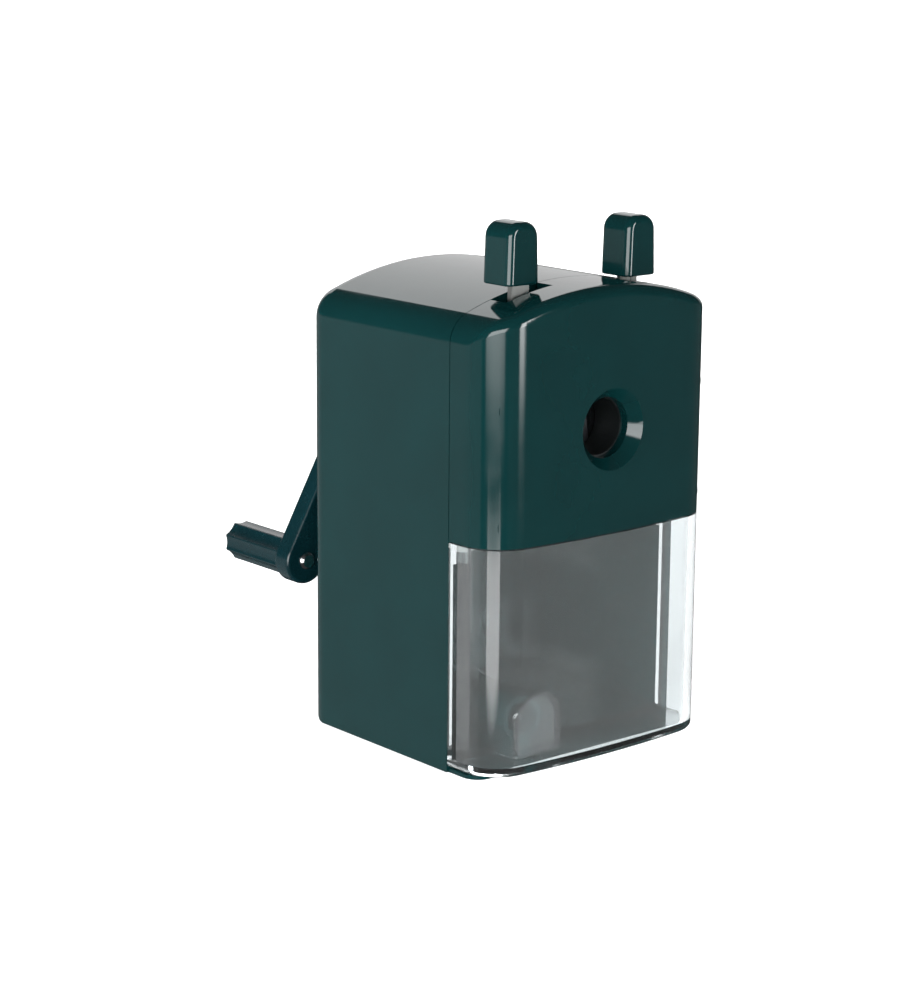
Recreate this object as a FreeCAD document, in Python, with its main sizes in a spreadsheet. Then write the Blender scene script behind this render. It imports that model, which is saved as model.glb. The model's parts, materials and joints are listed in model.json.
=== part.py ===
"""Crank-handle desktop pencil sharpener with an auto-feed head.

The pencil goes in at the front, along +Y, and is held by three jaws in a head that slides out on two
rods.  A crank at the rear turns a carrier whose inclined helical cutter rolls inside a fixed ring
gear.  Shavings fall into a clear drawer.  Millimetres, +Z up, and the origin is the middle of the
housing's flat underside.
"""
import FreeCAD, Part
import math
import os
import re
import Sketcher
from FreeCAD import Placement, Rotation, Vector

# Driving dimensions: alias, value, meaning.
SIZES = [
    ("width", 62.0, "housing width"),
    ("depth", 62.5, "front face to rear wall"),
    ("body_top", 100.0, "top of the crown"),
    ("crown_rise", 6.7, "how far the top arches above its sides"),
    ("shoulder_round", 6.5, "rounding beside the crown"),
    ("rear_round", 5.5, "rounding round the rear wall"),
    ("seam_depth", 15.0, "front face to seam"),
    ("seam_gap", 0.2, "gap at the seam"),
    ("bow", 2.0, "how far the front bulges"),
    ("front_corner", 9.0, "plan radius of the front corners"),
    ("head_edge", 2.5, "rounding of the head's top front edge"),
    ("wall", 2.2, "moulded wall"),
    ("rear_wall", 2.5, "housing rear wall"),
    ("floor_wall", 2.0, "housing floor"),
    ("lip_length", 8.5, "floor lip in front of the seam"),
    ("lip_wall", 0.8, "floor lip thickness"),
    ("lip_corner", 4.0, "plan radius of the lip's corners"),
    ("foot_radius", 3.2, "rubber pad"),
    ("foot_height", 1.0, "rubber pad thickness"),
    ("foot_inset", 6.0, "pad centre from the side"),
    ("fit", 0.03, "clearance of a fixed fit"),
    ("running", 0.06, "clearance of a running fit"),
    ("axis_height", 70.5, "pencil axis"),
    ("socket_offset", 14.0, "clamp socket from the middle"),
    ("socket_height", 9.6, "clamp socket axis"),
    ("socket_bore", 3.0, "clamp socket bore radius"),
    ("socket_wall", 1.3, "clamp socket wall"),
    ("socket_reach", 3.8, "clamp socket in front of the seam"),
    ("post_radius", 3.0, "screw post"),
    ("post_high_in", 9.5, "upper posts from the side"),
    ("post_high_z", 17.0, "upper posts above the axis"),
    ("post_low_in", 15.0, "lower posts from the side"),
    ("post_low_z", 21.5, "lower posts below the axis"),
    ("screw_radius", 1.25, "screw shank"),
    ("screw_head", 2.6, "screw head radius"),
    ("screw_head_height", 1.2, "screw head height"),
    ("screw_length", 10.0, "screw shank length"),
    ("plate_wall", 1.4, "steel mechanism plate"),
    ("plate_back", 4.05, "mechanism plate's rear face behind the seam"),
    ("plate_side", 1.3, "steel plates from the side walls"),
    ("plate_top_gap", 0.36, "mechanism plate below the crown's inner shoulder"),
    ("plate_down", 25.0, "mechanism plate below the axis"),
    ("plate_hole", 12.5, "mechanism plate opening"),
    ("plate_corner", 3.0, "corner radius of the steel plates"),
    ("rod_radius", 2.5, "guide rod"),
    ("rod_edge", 0.4, "rod bush from the mechanism plate's edge"),
    ("rod_z", 9.5, "guide rods below the axis, at least"),
    ("rod_gap", 0.34, "rod bush flange from the ring gear, at least"),
    ("rod_end", 4.2, "rod end in front of the housing's rear face"),
    ("bush_wall", 1.1, "rod bush barrel"),
    ("bush_flange", 1.6, "rod bush flange and rod clip beyond the rod"),
    ("bush_flange_wall", 1.0, "rod bush flange"),
    ("clip_wall", 1.0, "rod clip"),
    ("clip_setback", 1.6, "rod clip from the rod's end"),
    ("spring_wire", 0.4, "feed spring wire radius"),
    ("spring_out", 0.75, "feed spring's middle line outside the rod"),
    ("spring_turns", 10.0, "feed spring turns"),
    ("apex_reach", 61.2, "common apex of the two gears behind the mechanism plate"),
    ("tilt", 10.5, "cutter axis against the pencil axis, degrees"),
    ("ring_teeth", 32.0, "ring gear teeth"),
    ("pinion_teeth", 12.0, "pinion teeth"),
    ("pressure", 25.0, "pressure angle, degrees"),
    ("backlash", 0.14, "gear backlash"),
    ("mesh_reach", 58.1, "apex to the teeth's middle, along the pinion"),
    ("pinion_front", 58.0, "apex to the pinion's front face"),
    ("pinion_back", 54.4, "apex to the pinion's rear face"),
    ("cutter_radius", 6.0, "helical cutter"),
    ("cutter_front", 53.4, "apex to the cutter's front face"),
    ("cutter_back", 31.5, "apex to the cutter's rear face"),
    ("flutes", 12.0, "cutter flutes"),
    ("flute_depth", 0.7, "cutter flute depth"),
    ("axle_radius", 1.5, "cutter axle"),
    ("axle_front", 61.5, "apex to the axle's front end"),
    ("axle_back", 27.2, "apex to the axle's rear end"),
    ("ring_radius", 20.9, "ring gear outside"),
    ("ring_bore", 14.6, "ring gear front bore"),
    ("ring_flange", 3.0, "ring gear front flange"),
    ("ring_length", 9.3, "ring gear length"),
    ("ring_screw_ring", 19.3, "ring gear screw circle"),
    ("ring_screw", 0.9, "ring gear screw shank"),
    ("ring_screw_head", 1.7, "ring gear screw head"),
    ("disc_radius", 14.2, "carrier front disc"),
    ("disc_wall", 2.2, "carrier front disc"),
    ("disc_gap", 0.4, "carrier behind the mechanism plate"),
    ("drum_front", 13.0, "carrier drum radius in front"),
    ("drum_back", 10.0, "carrier drum radius at the rear"),
    ("drum_length", 32.7, "mechanism plate to the drum's rear end"),
    ("hub_radius", 9.0, "carrier hub"),
    ("hub_length", 5.0, "carrier hub behind the drum"),
    ("cutter_slot", 7.8, "carrier slot half width"),
    ("slot_floor", 1.4, "carrier slot floor below the axis"),
    ("pencil_bore", 4.6, "carrier pencil bore"),
    ("pencil_bore_short", 3.5, "pencil bore's end in front of the drum's"),
    ("window_half", 5.0, "carrier shavings window half width"),
    ("window_front", 10.2, "shavings window behind the mechanism plate"),
    ("window_short", 6.5, "shavings window's end in front of the drum's"),
    ("shaft_radius", 3.0, "drive shaft"),
    ("shaft_seat", 2.1, "drive shaft's seat in the hub"),
    ("bearing_wall", 2.4, "rear bearing bush"),
    ("boss_radius", 9.0, "rear bearing boss"),
    ("boss_in", 5.0, "boss inside the rear face"),
    ("boss_out", 2.75, "boss behind the rear face"),
    ("crank_gap", 0.7, "crank hub behind the boss"),
    ("crank_face", 9.8, "arm's front face behind the housing"),
    ("crank_wall", 5.0, "crank arm thickness"),
    ("crank_radius", 45.0, "crank axis to knob axis"),
    ("crank_angle", 32.0, "crank arm from straight down, degrees"),
    ("crank_hub", 7.5, "crank hub"),
    ("crank_end", 5.3, "crank arm end"),
    ("crank_edge", 0.8, "crank edge rounding"),
    ("crank_screw", 1.45, "crank screw shank"),
    ("crank_screw_head", 3.4, "crank screw head"),
    ("crank_screw_height", 1.8, "crank screw head height"),
    ("crank_screw_length", 8.0, "crank screw shank length"),
    ("knob_gap", 0.4, "knob behind the arm"),
    ("knob_radius", 4.4, "knob corner radius"),
    ("knob_length", 19.7, "knob length"),
    ("knob_flute", 4.6, "knob flute radius"),
    ("knob_flute_depth", 0.55, "knob flute depth"),
    ("knob_edge", 0.6, "knob end rounding"),
    ("knob_counterbore", 2.4, "counterbore at the knob's end"),
    ("knob_counterbore_depth", 2.0, "counterbore depth"),
    ("rivet_radius", 1.3, "knob rivet shank"),
    ("rivet_head", 1.9, "knob rivet heads"),
    ("rivet_head_wall", 0.8, "knob rivet head"),
    ("head_bottom", 49.0, "underside of the head"),
    ("funnel_radius", 8.5, "funnel mouth"),
    ("funnel_depth", 2.6, "funnel depth"),
    ("throat_length", 2.0, "round throat behind the funnel"),
    ("throat_step", 0.35, "throat wider than the pencil hole"),
    ("funnel_boss", 11.5, "boss behind the funnel"),
    ("hole_radius", 6.0, "pencil hole"),
    ("cover_boss_in", 6.0, "head screws from the side"),
    ("cover_boss_up", 6.5, "upper head screws above the axis"),
    ("cover_boss_down", 17.2, "lower head screws below the axis"),
    ("cover_slot_in", 8.2, "lever slot's inner end"),
    ("cover_slot_out", 20.6, "lever slot's outer end"),
    ("cover_slot_depth", 5.0, "lever slot in front of the seam"),
    ("chuck_wall", 1.2, "chuck plate"),
    ("chuck_out", 0.15, "chuck plate's front face in front of the seam"),
    ("chuck_top_gap", 2.36, "chuck plate below the crown's inner shoulder"),
    ("chuck_down", 19.6, "chuck plate below the axis"),
    ("sleeve_wall", 2.4, "chuck sleeves"),
    ("sleeve_flange", 2.1, "chuck sleeve flanges beyond the sleeves"),
    ("sleeve_flange_wall", 1.0, "chuck sleeve flanges"),
    ("layer_gap", 0.2, "gap between the chuck's layers"),
    ("ring_plate", 1.2, "lever plates"),
    ("ring_plate_radius", 17.0, "lever ring outside"),
    ("jaw_wall", 1.0, "jaw thickness"),
    ("stem_x", 16.2, "lever stems from the middle"),
    ("stem_width", 4.6, "lever stem width"),
    ("stem_top", 9.5, "stem's top above the cap's underside"),
    ("lever_angle", 10.0, "lever travel, degrees"),
    ("cap_lift", 0.2, "underside of the left finger cap above the crown's top"),
    ("cap_drop", 0.8, "right finger cap below the left one"),
    ("cap_height", 12.6, "finger cap height"),
    ("cap_width", 8.6, "finger cap width"),
    ("cap_depth", 8.5, "finger cap depth"),
    ("cap_middle", 2.3, "cap's middle in front of the chuck plate's rear face"),
    ("cap_round", 3.2, "rounding of the cap's top"),
    ("cap_edge", 1.5, "rounding of the cap's upright edges"),
    ("cap_taper", 0.3, "the cap's sides lean in by this towards its top"),
    ("cap_rim", 0.4, "rounding round the cap's underside"),
    ("jaw_pivot", 12.2, "jaw pivots from the axis"),
    ("jaw_grip", 2.3, "closed jaws from the axis"),
    ("jaw_head", 2.4, "jaw round its pins"),
    ("jaw_tip", 0.5, "jaw tip beyond the axis"),
    ("jaw_width", 2.4, "jaw width at the tip"),
    ("jaw_drive", 6.0, "drive pin from the pivot"),
    ("jaw_pin", 1.1, "jaw pivot pin"),
    ("drive_pin", 0.9, "jaw drive pin"),
    ("drive_clearance", 0.45, "cam slot clearance"),
    ("jaw_ratio", 1.37, "jaw turn per lever turn"),
    ("lever_spring_out", 1.0, "lever spring's middle line outside the sleeve"),
    ("lever_spring_wire", 0.45, "lever spring wire radius"),
    ("lever_spring_turns", 2.5, "lever spring turns"),
    ("lever_spring_leg", 5.0, "lever spring legs"),
    ("drawer_gap", 0.3, "gap round the drawer"),
    ("drawer_wall", 1.8, "drawer wall"),
    ("drawer_lift", 0.25, "drawer front above the lip"),
    ("drawer_edge", 1.2, "rounding of the drawer front's lower edge"),
    ("tray_side", 0.4, "tray from the housing wall"),
    ("tray_back", 9.25, "tray's rear end in front of the housing's rear face"),
    ("tray_drop", 5.0, "tray's rim below the head"),
    ("tunnel_wall", 1.2, "tunnel over the clamp socket"),
    ("tunnel_gap", 0.4, "tunnel round the clamp socket"),
    ("tunnel_height", 10.4, "centre of the tunnel's round top"),
    ("tunnel_front", 6.5, "tunnel's end behind the front face"),
]
ALIASES = {alias for alias, number, meaning in SIZES}

doc = FreeCAD.newDocument("pencil_sharpener")
sheet = doc.addObject("Spreadsheet::Sheet", "dims")
for row, (alias, number, meaning) in enumerate(SIZES, start=1):
    sheet.set(f"A{row}", meaning)
    sheet.set(f"B{row}", str(number))
    sheet.setAlias(f"B{row}", alias)
doc.recompute()

# Places used by several pieces, as expressions of the sheet.
FRONT = "(-depth / 2)"
REAR = "(depth / 2)"
SEAM = "(seam_depth - depth / 2)"
PLATE_BACK = f"({SEAM} + plate_back)"
PLATE_FRONT = f"({PLATE_BACK} - plate_wall)"
CHUCK_FRONT = f"({SEAM} - chuck_out)"
CHUCK_BACK = f"({CHUCK_FRONT} + chuck_wall)"
RIGHT_RING_BACK = f"({CHUCK_FRONT} - layer_gap)"
RIGHT_RING_FRONT = f"({RIGHT_RING_BACK} - ring_plate)"
JAW_BACK = f"({RIGHT_RING_FRONT} - layer_gap)"
JAW_FRONT = f"({JAW_BACK} - jaw_wall)"
LEFT_RING_BACK = f"({JAW_FRONT} - layer_gap)"
LEFT_RING_FRONT = f"({LEFT_RING_BACK} - ring_plate)"
SLEEVE_RADIUS = "(hole_radius + sleeve_wall)"
FUNNEL_BACK = f"({FRONT} + funnel_depth + throat_length)"
ARM_FRONT = f"({REAR} + crank_face)"
ARM_BACK = f"({ARM_FRONT} + crank_wall)"
HUB_FRONT = f"({REAR} + boss_out + crank_gap)"
KNOB_FRONT = f"({ARM_BACK} + knob_gap)"
KNOB_BACK = f"({KNOB_FRONT} + knob_length)"
ROD_BACK = f"({REAR} - rod_end)"
CLIP_FRONT = f"({ROD_BACK} - clip_setback - clip_wall)"
DISC_FRONT = f"({PLATE_BACK} + disc_gap)"
DRAWER_BOTTOM = "(lip_wall + drawer_lift)"
TRAY_BOTTOM = "(floor_wall + drawer_gap)"
TRAY_HALF = "(width / 2 - wall - tray_side)"
TUNNEL_BORE = "(socket_bore + socket_wall + tunnel_gap)"
PLATE_HALF = "(width / 2 - wall - plate_side)"
POST_HIGH_X = "(width / 2 - post_high_in)"
POST_LOW_X = "(width / 2 - post_low_in)"
HEAD_SCREW_X = "(width / 2 - cover_boss_in)"
FLANGE_RADIUS = "(rod_radius + bush_flange)"
ROD_X = f"({PLATE_HALF} - rod_radius - bush_wall - rod_edge)"
ROD_REACH = f"(ring_radius + {FLANGE_RADIUS} + rod_gap)"
ROD_Z = f"(axis_height - sqrt(max({ROD_REACH} ^ 2 - {ROD_X} ^ 2; rod_z ^ 2)))"
SPRING_RADIUS = "(rod_radius + spring_out)"
SLEEVE_FLANGE_RADIUS = f"({SLEEVE_RADIUS} + sleeve_flange)"
LEVER_SPRING_RADIUS = f"({SLEEVE_RADIUS} + lever_spring_out)"
APEX = f"({PLATE_BACK} + apex_reach)"
DRUM_END = f"({PLATE_BACK} + drum_length)"
HUB_END = f"({DRUM_END} + hub_length)"
SHAFT_FRONT = f"({HUB_END} - shaft_seat)"
CROWN_RADIUS = "(((width / 2) ^ 2 + crown_rise ^ 2) / (2 * crown_rise))"
CAP_BOTTOM = {"left": "(body_top + cap_lift)", "right": "(body_top + cap_lift - cap_drop)"}
TRAY_END = f"({REAR} - tray_back)"
TRAY_TOP = "(head_bottom - tray_drop)"
SIDES = (("left", -1), ("right", 1))


# ---------------------------------------------------------------- helpers

def bound(text):
    """Name the sheet in front of every alias, as expressions of other objects need it."""
    return re.sub(r"[a-z][a-z_]*", lambda word: ("dims." if word.group() in ALIASES else "") + word.group(),
                  str(text))


def size(text):
    """The number that an expression of the sheet stands for."""
    return float(sheet.evalExpression(bound(text)))


def place(thing, x="0", y="0", z="0", axis=(1, 0, 0), angle="0"):
    """Put an object at x, y, z, turned about an axis, all bound to the sheet."""
    thing.Placement = Placement(Vector(size(x), size(y), size(z)), Rotation(Vector(*axis), size(angle)))
    for letter, text in (("x", x), ("y", y), ("z", z)):
        thing.setExpression(f"Placement.Base.{letter}", bound(text))
    return thing


def cylinder(name, radius, start, end, x="0", z="0"):
    """A round bar along +Y from start to end."""
    bar = doc.addObject("Part::Cylinder", name)
    bar.setExpression("Radius", bound(radius))
    bar.setExpression("Height", bound(f"({end}) - ({start})"))
    return place(bar, x, start, z, (1, 0, 0), "-90")


def box(name, x0, x1, y0, y1, z0, z1):
    """A block between two corners."""
    block = doc.addObject("Part::Box", name)
    block.setExpression("Length", bound(f"({x1}) - ({x0})"))
    block.setExpression("Width", bound(f"({y1}) - ({y0})"))
    block.setExpression("Height", bound(f"({z1}) - ({z0})"))
    return place(block, x0, y0, z0)


def fuse(name, pieces):
    whole = doc.addObject("Part::MultiFuse", name)
    whole.Shapes = pieces
    whole.Refine = True
    return whole


def cut(name, base, tools):
    """The base less all the tools."""
    tool = tools[0] if len(tools) == 1 else fuse(name + "_tools", tools)
    rest = doc.addObject("Part::Cut", name)
    rest.Base = base
    rest.Tool = tool
    rest.Refine = True
    return rest


def common(name, first, second):
    both = doc.addObject("Part::Common", name)
    both.Base = first
    both.Tool = second
    both.Refine = True
    return both


def new_sketch(body, name, role, offset="0"):
    """A sketch on one of the body's own origin planes, moved along the plane's normal."""
    sketch = body.newObject("Sketcher::SketchObject", name)
    plane = [item for item in body.Origin.OriginFeatures if item.Role == role][0]
    sketch.AttachmentSupport = (plane, "")
    sketch.MapMode = "FlatFace"
    sketch.setExpression("AttachmentOffset.Base.z", bound(offset))
    return sketch


def pin_point(sketch, edge, end, x, y):
    """Hold a point of an edge at x, y."""
    for kind, text in (("DistanceX", x), ("DistanceY", y)):
        index = sketch.addConstraint(Sketcher.Constraint(kind, -1, 1, edge, end, size(text)))
        sketch.setExpression(f"Constraints[{index}]", bound(text))


def add_outline(sketch, corners):
    """A closed outline.  A corner is (x, y) or (x, y, r), where r bends the edge that leaves it.

    The arc's centre lies to the left of the way to the next corner, or to the right where the
    radius is written with a minus in front.
    """
    count = len(corners)
    first = sketch.GeometryCount
    for index, corner in enumerate(corners):
        following = corners[(index + 1) % count]
        a = Vector(size(corner[0]), size(corner[1]), 0)
        b = Vector(size(following[0]), size(following[1]), 0)
        if len(corner) == 2:
            sketch.addGeometry(Part.LineSegment(a, b))
            continue
        turn = -1 if corner[2].startswith("-") else 1
        radius = size(corner[2].lstrip("-"))
        half = (b - a) * 0.5
        side = Vector(-half.y, half.x, 0).normalize() * turn
        centre = a + half + side * math.sqrt(max(radius ** 2 - half.Length ** 2, 0))
        middle = centre - side * radius
        sketch.addGeometry(Part.Arc(a, middle, b))
    starts = []
    for index, corner in enumerate(corners):
        bent = len(corner) == 3
        backwards = bent and corner[2].startswith("-")
        starts.append((first + index, 2 if backwards else 1, 1 if backwards else 2))
    for index, corner in enumerate(corners):
        edge, start, end = starts[index]
        after, after_start, after_end = starts[(index + 1) % count]
        sketch.addConstraint(Sketcher.Constraint("Coincident", edge, end, after, after_start))
        pin_point(sketch, edge, start, corner[0], corner[1])
        if len(corner) == 3:
            text = corner[2].lstrip("-")
            held = sketch.addConstraint(Sketcher.Constraint("Radius", edge, size(text)))
            sketch.setExpression(f"Constraints[{held}]", bound(text))


def add_circle(sketch, x, y, radius):
    edge = sketch.addGeometry(Part.Circle(Vector(size(x), size(y), 0), Vector(0, 0, 1), size(radius)))
    pin_point(sketch, edge, 3, x, y)
    held = sketch.addConstraint(Sketcher.Constraint("Radius", edge, size(radius)))
    sketch.setExpression(f"Constraints[{held}]", bound(radius))


PLANES = {"XZ": "XZ_Plane", "XY": "XY_Plane"}


def prism(name, plane, start, end, outline=(), circles=()):
    """A body padded from an outline and circles: along Y from an XZ outline, along Z from an XY one."""
    body = doc.addObject("PartDesign::Body", name)
    body.Label = name
    offset = f"-({end})" if plane == "XZ" else start
    sketch = new_sketch(body, name + "_sketch", PLANES[plane], offset)
    if outline:
        add_outline(sketch, outline)
    for x, y, radius in circles:
        add_circle(sketch, x, y, radius)
    add_pad(body, name + "_pad", sketch, f"({end}) - ({start})")
    return body


def add_pad(body, name, sketch, length):
    pad = body.newObject("PartDesign::Pad", name)
    pad.Profile = sketch
    pad.setExpression("Length", bound(length))
    body.Tip = pad
    doc.recompute()
    return pad


def revolve(name, outline, y="0", z="axis_height", angle="0"):
    """A body turned about its own Y axis from an outline of radius and Y."""
    body = doc.addObject("PartDesign::Body", name)
    body.Label = name
    sketch = new_sketch(body, name + "_sketch", "XY_Plane")
    add_outline(sketch, outline)
    turned = body.newObject("PartDesign::Revolution", name + "_turned")
    turned.Profile = sketch
    turned.ReferenceAxis = (sketch, ["V_Axis"])
    turned.Angle = 360
    body.Tip = turned
    place(body, "0", y, z, (1, 0, 0), angle)
    doc.recompute()
    return body


def sleeve(name, outer, inner, start, end, x="0", z="0"):
    """A plain bush along +Y."""
    return prism(name, "XZ", start, end, circles=[(x, z, outer), (x, z, inner)])


def round_edges(body, name, radius, wanted):
    """Fillet the body's edges that a test picks."""
    tip = body.Tip
    names = [f"Edge{index}" for index, edge in enumerate(tip.Shape.Edges, start=1) if wanted(edge)]
    fillet = body.newObject("PartDesign::Fillet", name)
    fillet.Base = (tip, names)
    fillet.setExpression("Radius", bound(radius))
    body.Tip = fillet
    doc.recompute()
    return fillet


def fillet_part(name, base, radius, wanted):
    """Fillet a boolean's edges that a test picks."""
    doc.recompute()
    rounded = doc.addObject("Part::Fillet", name)
    rounded.Base = base
    amount = size(radius)
    rounded.Edges = [(index, amount, amount)
                     for index, edge in enumerate(base.Shape.Edges, start=1) if wanted(edge)]
    return rounded


def close(a, b):
    return abs(a - b) < 0.01


def along(edge, letter):
    """True for a straight edge along the named axis."""
    if edge.Curve.TypeId != "Part::GeomLine":
        return False
    return close(abs(getattr(edge.Curve.Direction, letter)), 1)


def spans(edge, letter, low, high):
    """True where all of the edge lies between two values of a coordinate."""
    bounds = edge.BoundBox
    return getattr(bounds, letter + "Min") > low and getattr(bounds, letter + "Max") < high


# ---------------------------------------------------------------- shared outlines

def crown_shoulder(inset):
    """Height where the crown's arc meets the side, for a shape set in by a wall."""
    return (f"(body_top - {CROWN_RADIUS} + sqrt(({CROWN_RADIUS} - {inset}) ^ 2"
            f" - (width / 2 - {inset}) ^ 2))")


def crowned_block(name, start, end, bottom, inset):
    """A block along Y with an arched top and rounded shoulders, set in from the outside by a wall."""
    half = f"(width / 2 - {inset})"
    top = crown_shoulder(inset)
    block = prism(name, "XZ", start, end, [
        (f"-{half}", bottom),
        (half, bottom),
        (half, top, f"{CROWN_RADIUS} - {inset}"),
        (f"-{half}", top),
    ])
    level = size(top)
    round_edges(block, name + "_shoulders", f"shoulder_round - {inset}",
                lambda edge: along(edge, "y") and close(edge.CenterOfMass.z, level))
    return block


def plan_block(name, bottom, top, back, inset):
    """The head's and the drawer's plan: a bowed front with round corners, padded upward."""
    half = f"(width / 2 - {inset})"
    bow_radius = "(((width / 2) ^ 2 + bow ^ 2) / (2 * bow))"
    bow_y = f"({FRONT} + {bow_radius})"
    corner_x = "(width / 2 - front_corner)"
    corner_y = f"({bow_y} - sqrt(({bow_radius} - front_corner) ^ 2 - {corner_x} ^ 2))"
    stretch = f"(({bow_radius} - {inset}) / ({bow_radius} - front_corner))"
    touch_x = f"({corner_x} * {stretch})"
    touch_y = f"({bow_y} - ({bow_y} - {corner_y}) * {stretch})"
    corner = f"front_corner - {inset}"
    return prism(name, "XY", bottom, top, [
        (f"-{half}", back),
        (f"-{half}", corner_y, corner),
        (f"-{touch_x}", touch_y, f"{bow_radius} - {inset}"),
        (touch_x, touch_y, corner),
        (half, corner_y),
        (half, back),
    ])


def rounded_plate(name, start, end, half, low, high, corner, circles):
    """A flat plate across Y with round corners and holes."""
    return prism(name, "XZ", start, end, [
        (f"-{half} + {corner}", low),
        (f"{half} - {corner}", low, corner),
        (half, f"{low} + {corner}"),
        (half, f"{high} - {corner}", corner),
        (f"{half} - {corner}", high),
        (f"-{half} + {corner}", high, corner),
        (f"-{half}", f"{high} - {corner}"),
        (f"-{half}", f"{low} + {corner}", corner),
    ], circles)


def posts():
    """Centres of the four screw posts that carry the mechanism plate."""
    for side, sign in SIDES:
        yield f"{side}_high", f"({sign} * {POST_HIGH_X})", "(axis_height + post_high_z)"
        yield f"{side}_low", f"({sign} * {POST_LOW_X})", "(axis_height - post_low_z)"


def head_screws():
    """Centres of the four screws that hold the chuck plate in the head."""
    for side, sign in SIDES:
        yield f"{side}_high", f"({sign} * {HEAD_SCREW_X})", "(axis_height + cover_boss_up)"
        yield f"{side}_low", f"({sign} * {HEAD_SCREW_X})", "(axis_height - cover_boss_down)"


# ---------------------------------------------------------------- housing body

def make_housing():
    """The rear shell: crown, rear wall with a bearing boss, floor with a lip, clamp socket, posts."""
    outer = crowned_block("housing_outer", SEAM, REAR, "0", "0")
    back = size(REAR)
    round_edges(outer, "housing_rear", "rear_round",
                lambda edge: spans(edge, "Y", back - 0.01, back + 0.01))
    cavity = crowned_block("housing_cavity", f"{SEAM} - 1", f"{REAR} - rear_wall", "floor_wall", "wall")
    shell = cut("housing_shell", outer, [cavity])
    lip_half = "(width / 2 - 0.5)"
    lip = prism("housing_lip", "XY", "0", "lip_wall", [
        (f"-{lip_half}", f"{SEAM} + 1"),
        (f"-{lip_half}", f"{SEAM} - lip_length + lip_corner", "lip_corner"),
        (f"-{lip_half} + lip_corner", f"{SEAM} - lip_length"),
        (f"{lip_half} - lip_corner", f"{SEAM} - lip_length", "lip_corner"),
        (lip_half, f"{SEAM} - lip_length + lip_corner"),
        (lip_half, f"{SEAM} + 1"),
    ])
    socket_front = f"{SEAM} - socket_reach"
    socket_end = f"{REAR} - rear_wall / 2"
    socket = cylinder("housing_socket", "socket_bore + socket_wall", socket_front, socket_end,
                      "-socket_offset", "socket_height")
    web = box("housing_web", "-socket_offset - socket_wall", "-socket_offset + socket_wall",
              socket_front, socket_end, "lip_wall / 2", "socket_height - socket_bore - socket_wall / 2")
    boss = cylinder("housing_boss", "boss_radius", f"{REAR} - boss_in", f"{REAR} + boss_out",
                    "0", "axis_height")
    pillars = [cylinder("housing_post_" + name, "post_radius", PLATE_BACK, f"{REAR} - rear_wall / 2", x, z)
               for name, x, z in posts()]
    solid = fuse("housing_solid", [shell, lip, socket, web, boss] + pillars)
    holes = [
        cylinder("housing_socket_bore", "socket_bore", f"{socket_front} - 1", f"{REAR} + 1",
                 "-socket_offset", "socket_height"),
        cylinder("housing_bearing_bore", "shaft_radius + bearing_wall + fit", f"{REAR} - boss_in - 1",
                 f"{REAR} + boss_out + 1", "0", "axis_height"),
    ]
    holes += [cylinder("housing_hole_" + name, "screw_radius + fit", f"{PLATE_BACK} - 1",
                       f"{PLATE_FRONT} + screw_length + 1", x, z) for name, x, z in posts()]
    holes += [prism("housing_recess_" + name, "XY", "-1", "foot_height + fit",
                    circles=[(x, y, "foot_radius + fit")]) for name, x, y in feet()]
    return cut("housing", solid, holes)


def make_mechanism_plate():
    """Steel plate across the housing's mouth: it carries the ring gear and the rod bushes."""
    holes = [("0", "axis_height", "plate_hole")]
    holes += [(x, z, "screw_radius + fit") for name, x, z in posts()]
    holes += [(f"{sign} * {ROD_X}", ROD_Z, "rod_radius + bush_wall + fit")
              for side, sign in SIDES]
    holes += [(x, z, "ring_screw + fit") for x, z in ring_screw_places()]
    return rounded_plate("mechanism_plate", PLATE_FRONT, PLATE_BACK, PLATE_HALF,
                         "(axis_height - plate_down)", f"({crown_shoulder('wall')} - plate_top_gap)",
                         "plate_corner", holes)


def ring_screw_places():
    """Three screws round the ring gear."""
    for step in range(3):
        turn = 90 + 120 * step
        yield (f"(ring_screw_ring * cos({turn}))", f"(axis_height + ring_screw_ring * sin({turn}))")


def pan_screw(name, shank, head, height, length, face, x, z):
    """A screw along +Y whose head stands in front of a face."""
    screw = revolve(name, [
        ("0", f"-{height}"),
        (f"{head} * 0.8", f"-{height}"),
        (head, f"-{height} * 0.5"),
        (head, "0"),
        (shank, "0"),
        (shank, length),
        ("0", length),
    ], face, z)
    screw.setExpression("Placement.Base.x", bound(x))
    return screw


def make_rod_bush(side, sign):
    """Nylon bush in the mechanism plate, with the feed spring's seat behind it."""
    bore = "rod_radius + running"
    bush = revolve(f"rod_bush_{side}", [
        (bore, "-plate_wall"),
        ("rod_radius + bush_wall", "-plate_wall"),
        ("rod_radius + bush_wall", "0"),
        (FLANGE_RADIUS, "0"),
        (FLANGE_RADIUS, "bush_flange_wall"),
        (bore, "bush_flange_wall"),
    ], PLATE_BACK, ROD_Z)
    bush.setExpression("Placement.Base.x", bound(f"{sign} * {ROD_X}"))
    return bush


def gear_outline(teeth, pitch, above, below, half_width):
    """Corners of an involute gear with a tooth along +Y; half_width is taken at the pitch circle."""
    pressure = math.radians(size("pressure"))
    base = pitch * math.cos(pressure)
    tip = pitch + above
    root = pitch - below
    lowest = max(root, base)

    def half_angle(radius):
        slope = math.acos(min(base / radius, 1))
        return half_width / pitch + (math.tan(pressure) - pressure) - (math.tan(slope) - slope)

    radii = [lowest + (tip - lowest) * step / 3 for step in range(4)]
    corners = []
    for tooth in range(teeth):
        middle = math.pi / 2 + tooth * 2 * math.pi / teeth
        flank = [(radius, half_angle(radius)) for radius in radii]
        if root < base:
            flank.insert(0, (root, half_angle(lowest)))
        corners += [(radius, middle - half) for radius, half in flank]
        corners += [(radius, middle + half) for radius, half in reversed(flank)]
    return [(radius * math.cos(angle), radius * math.sin(angle)) for radius, angle in corners]


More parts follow.
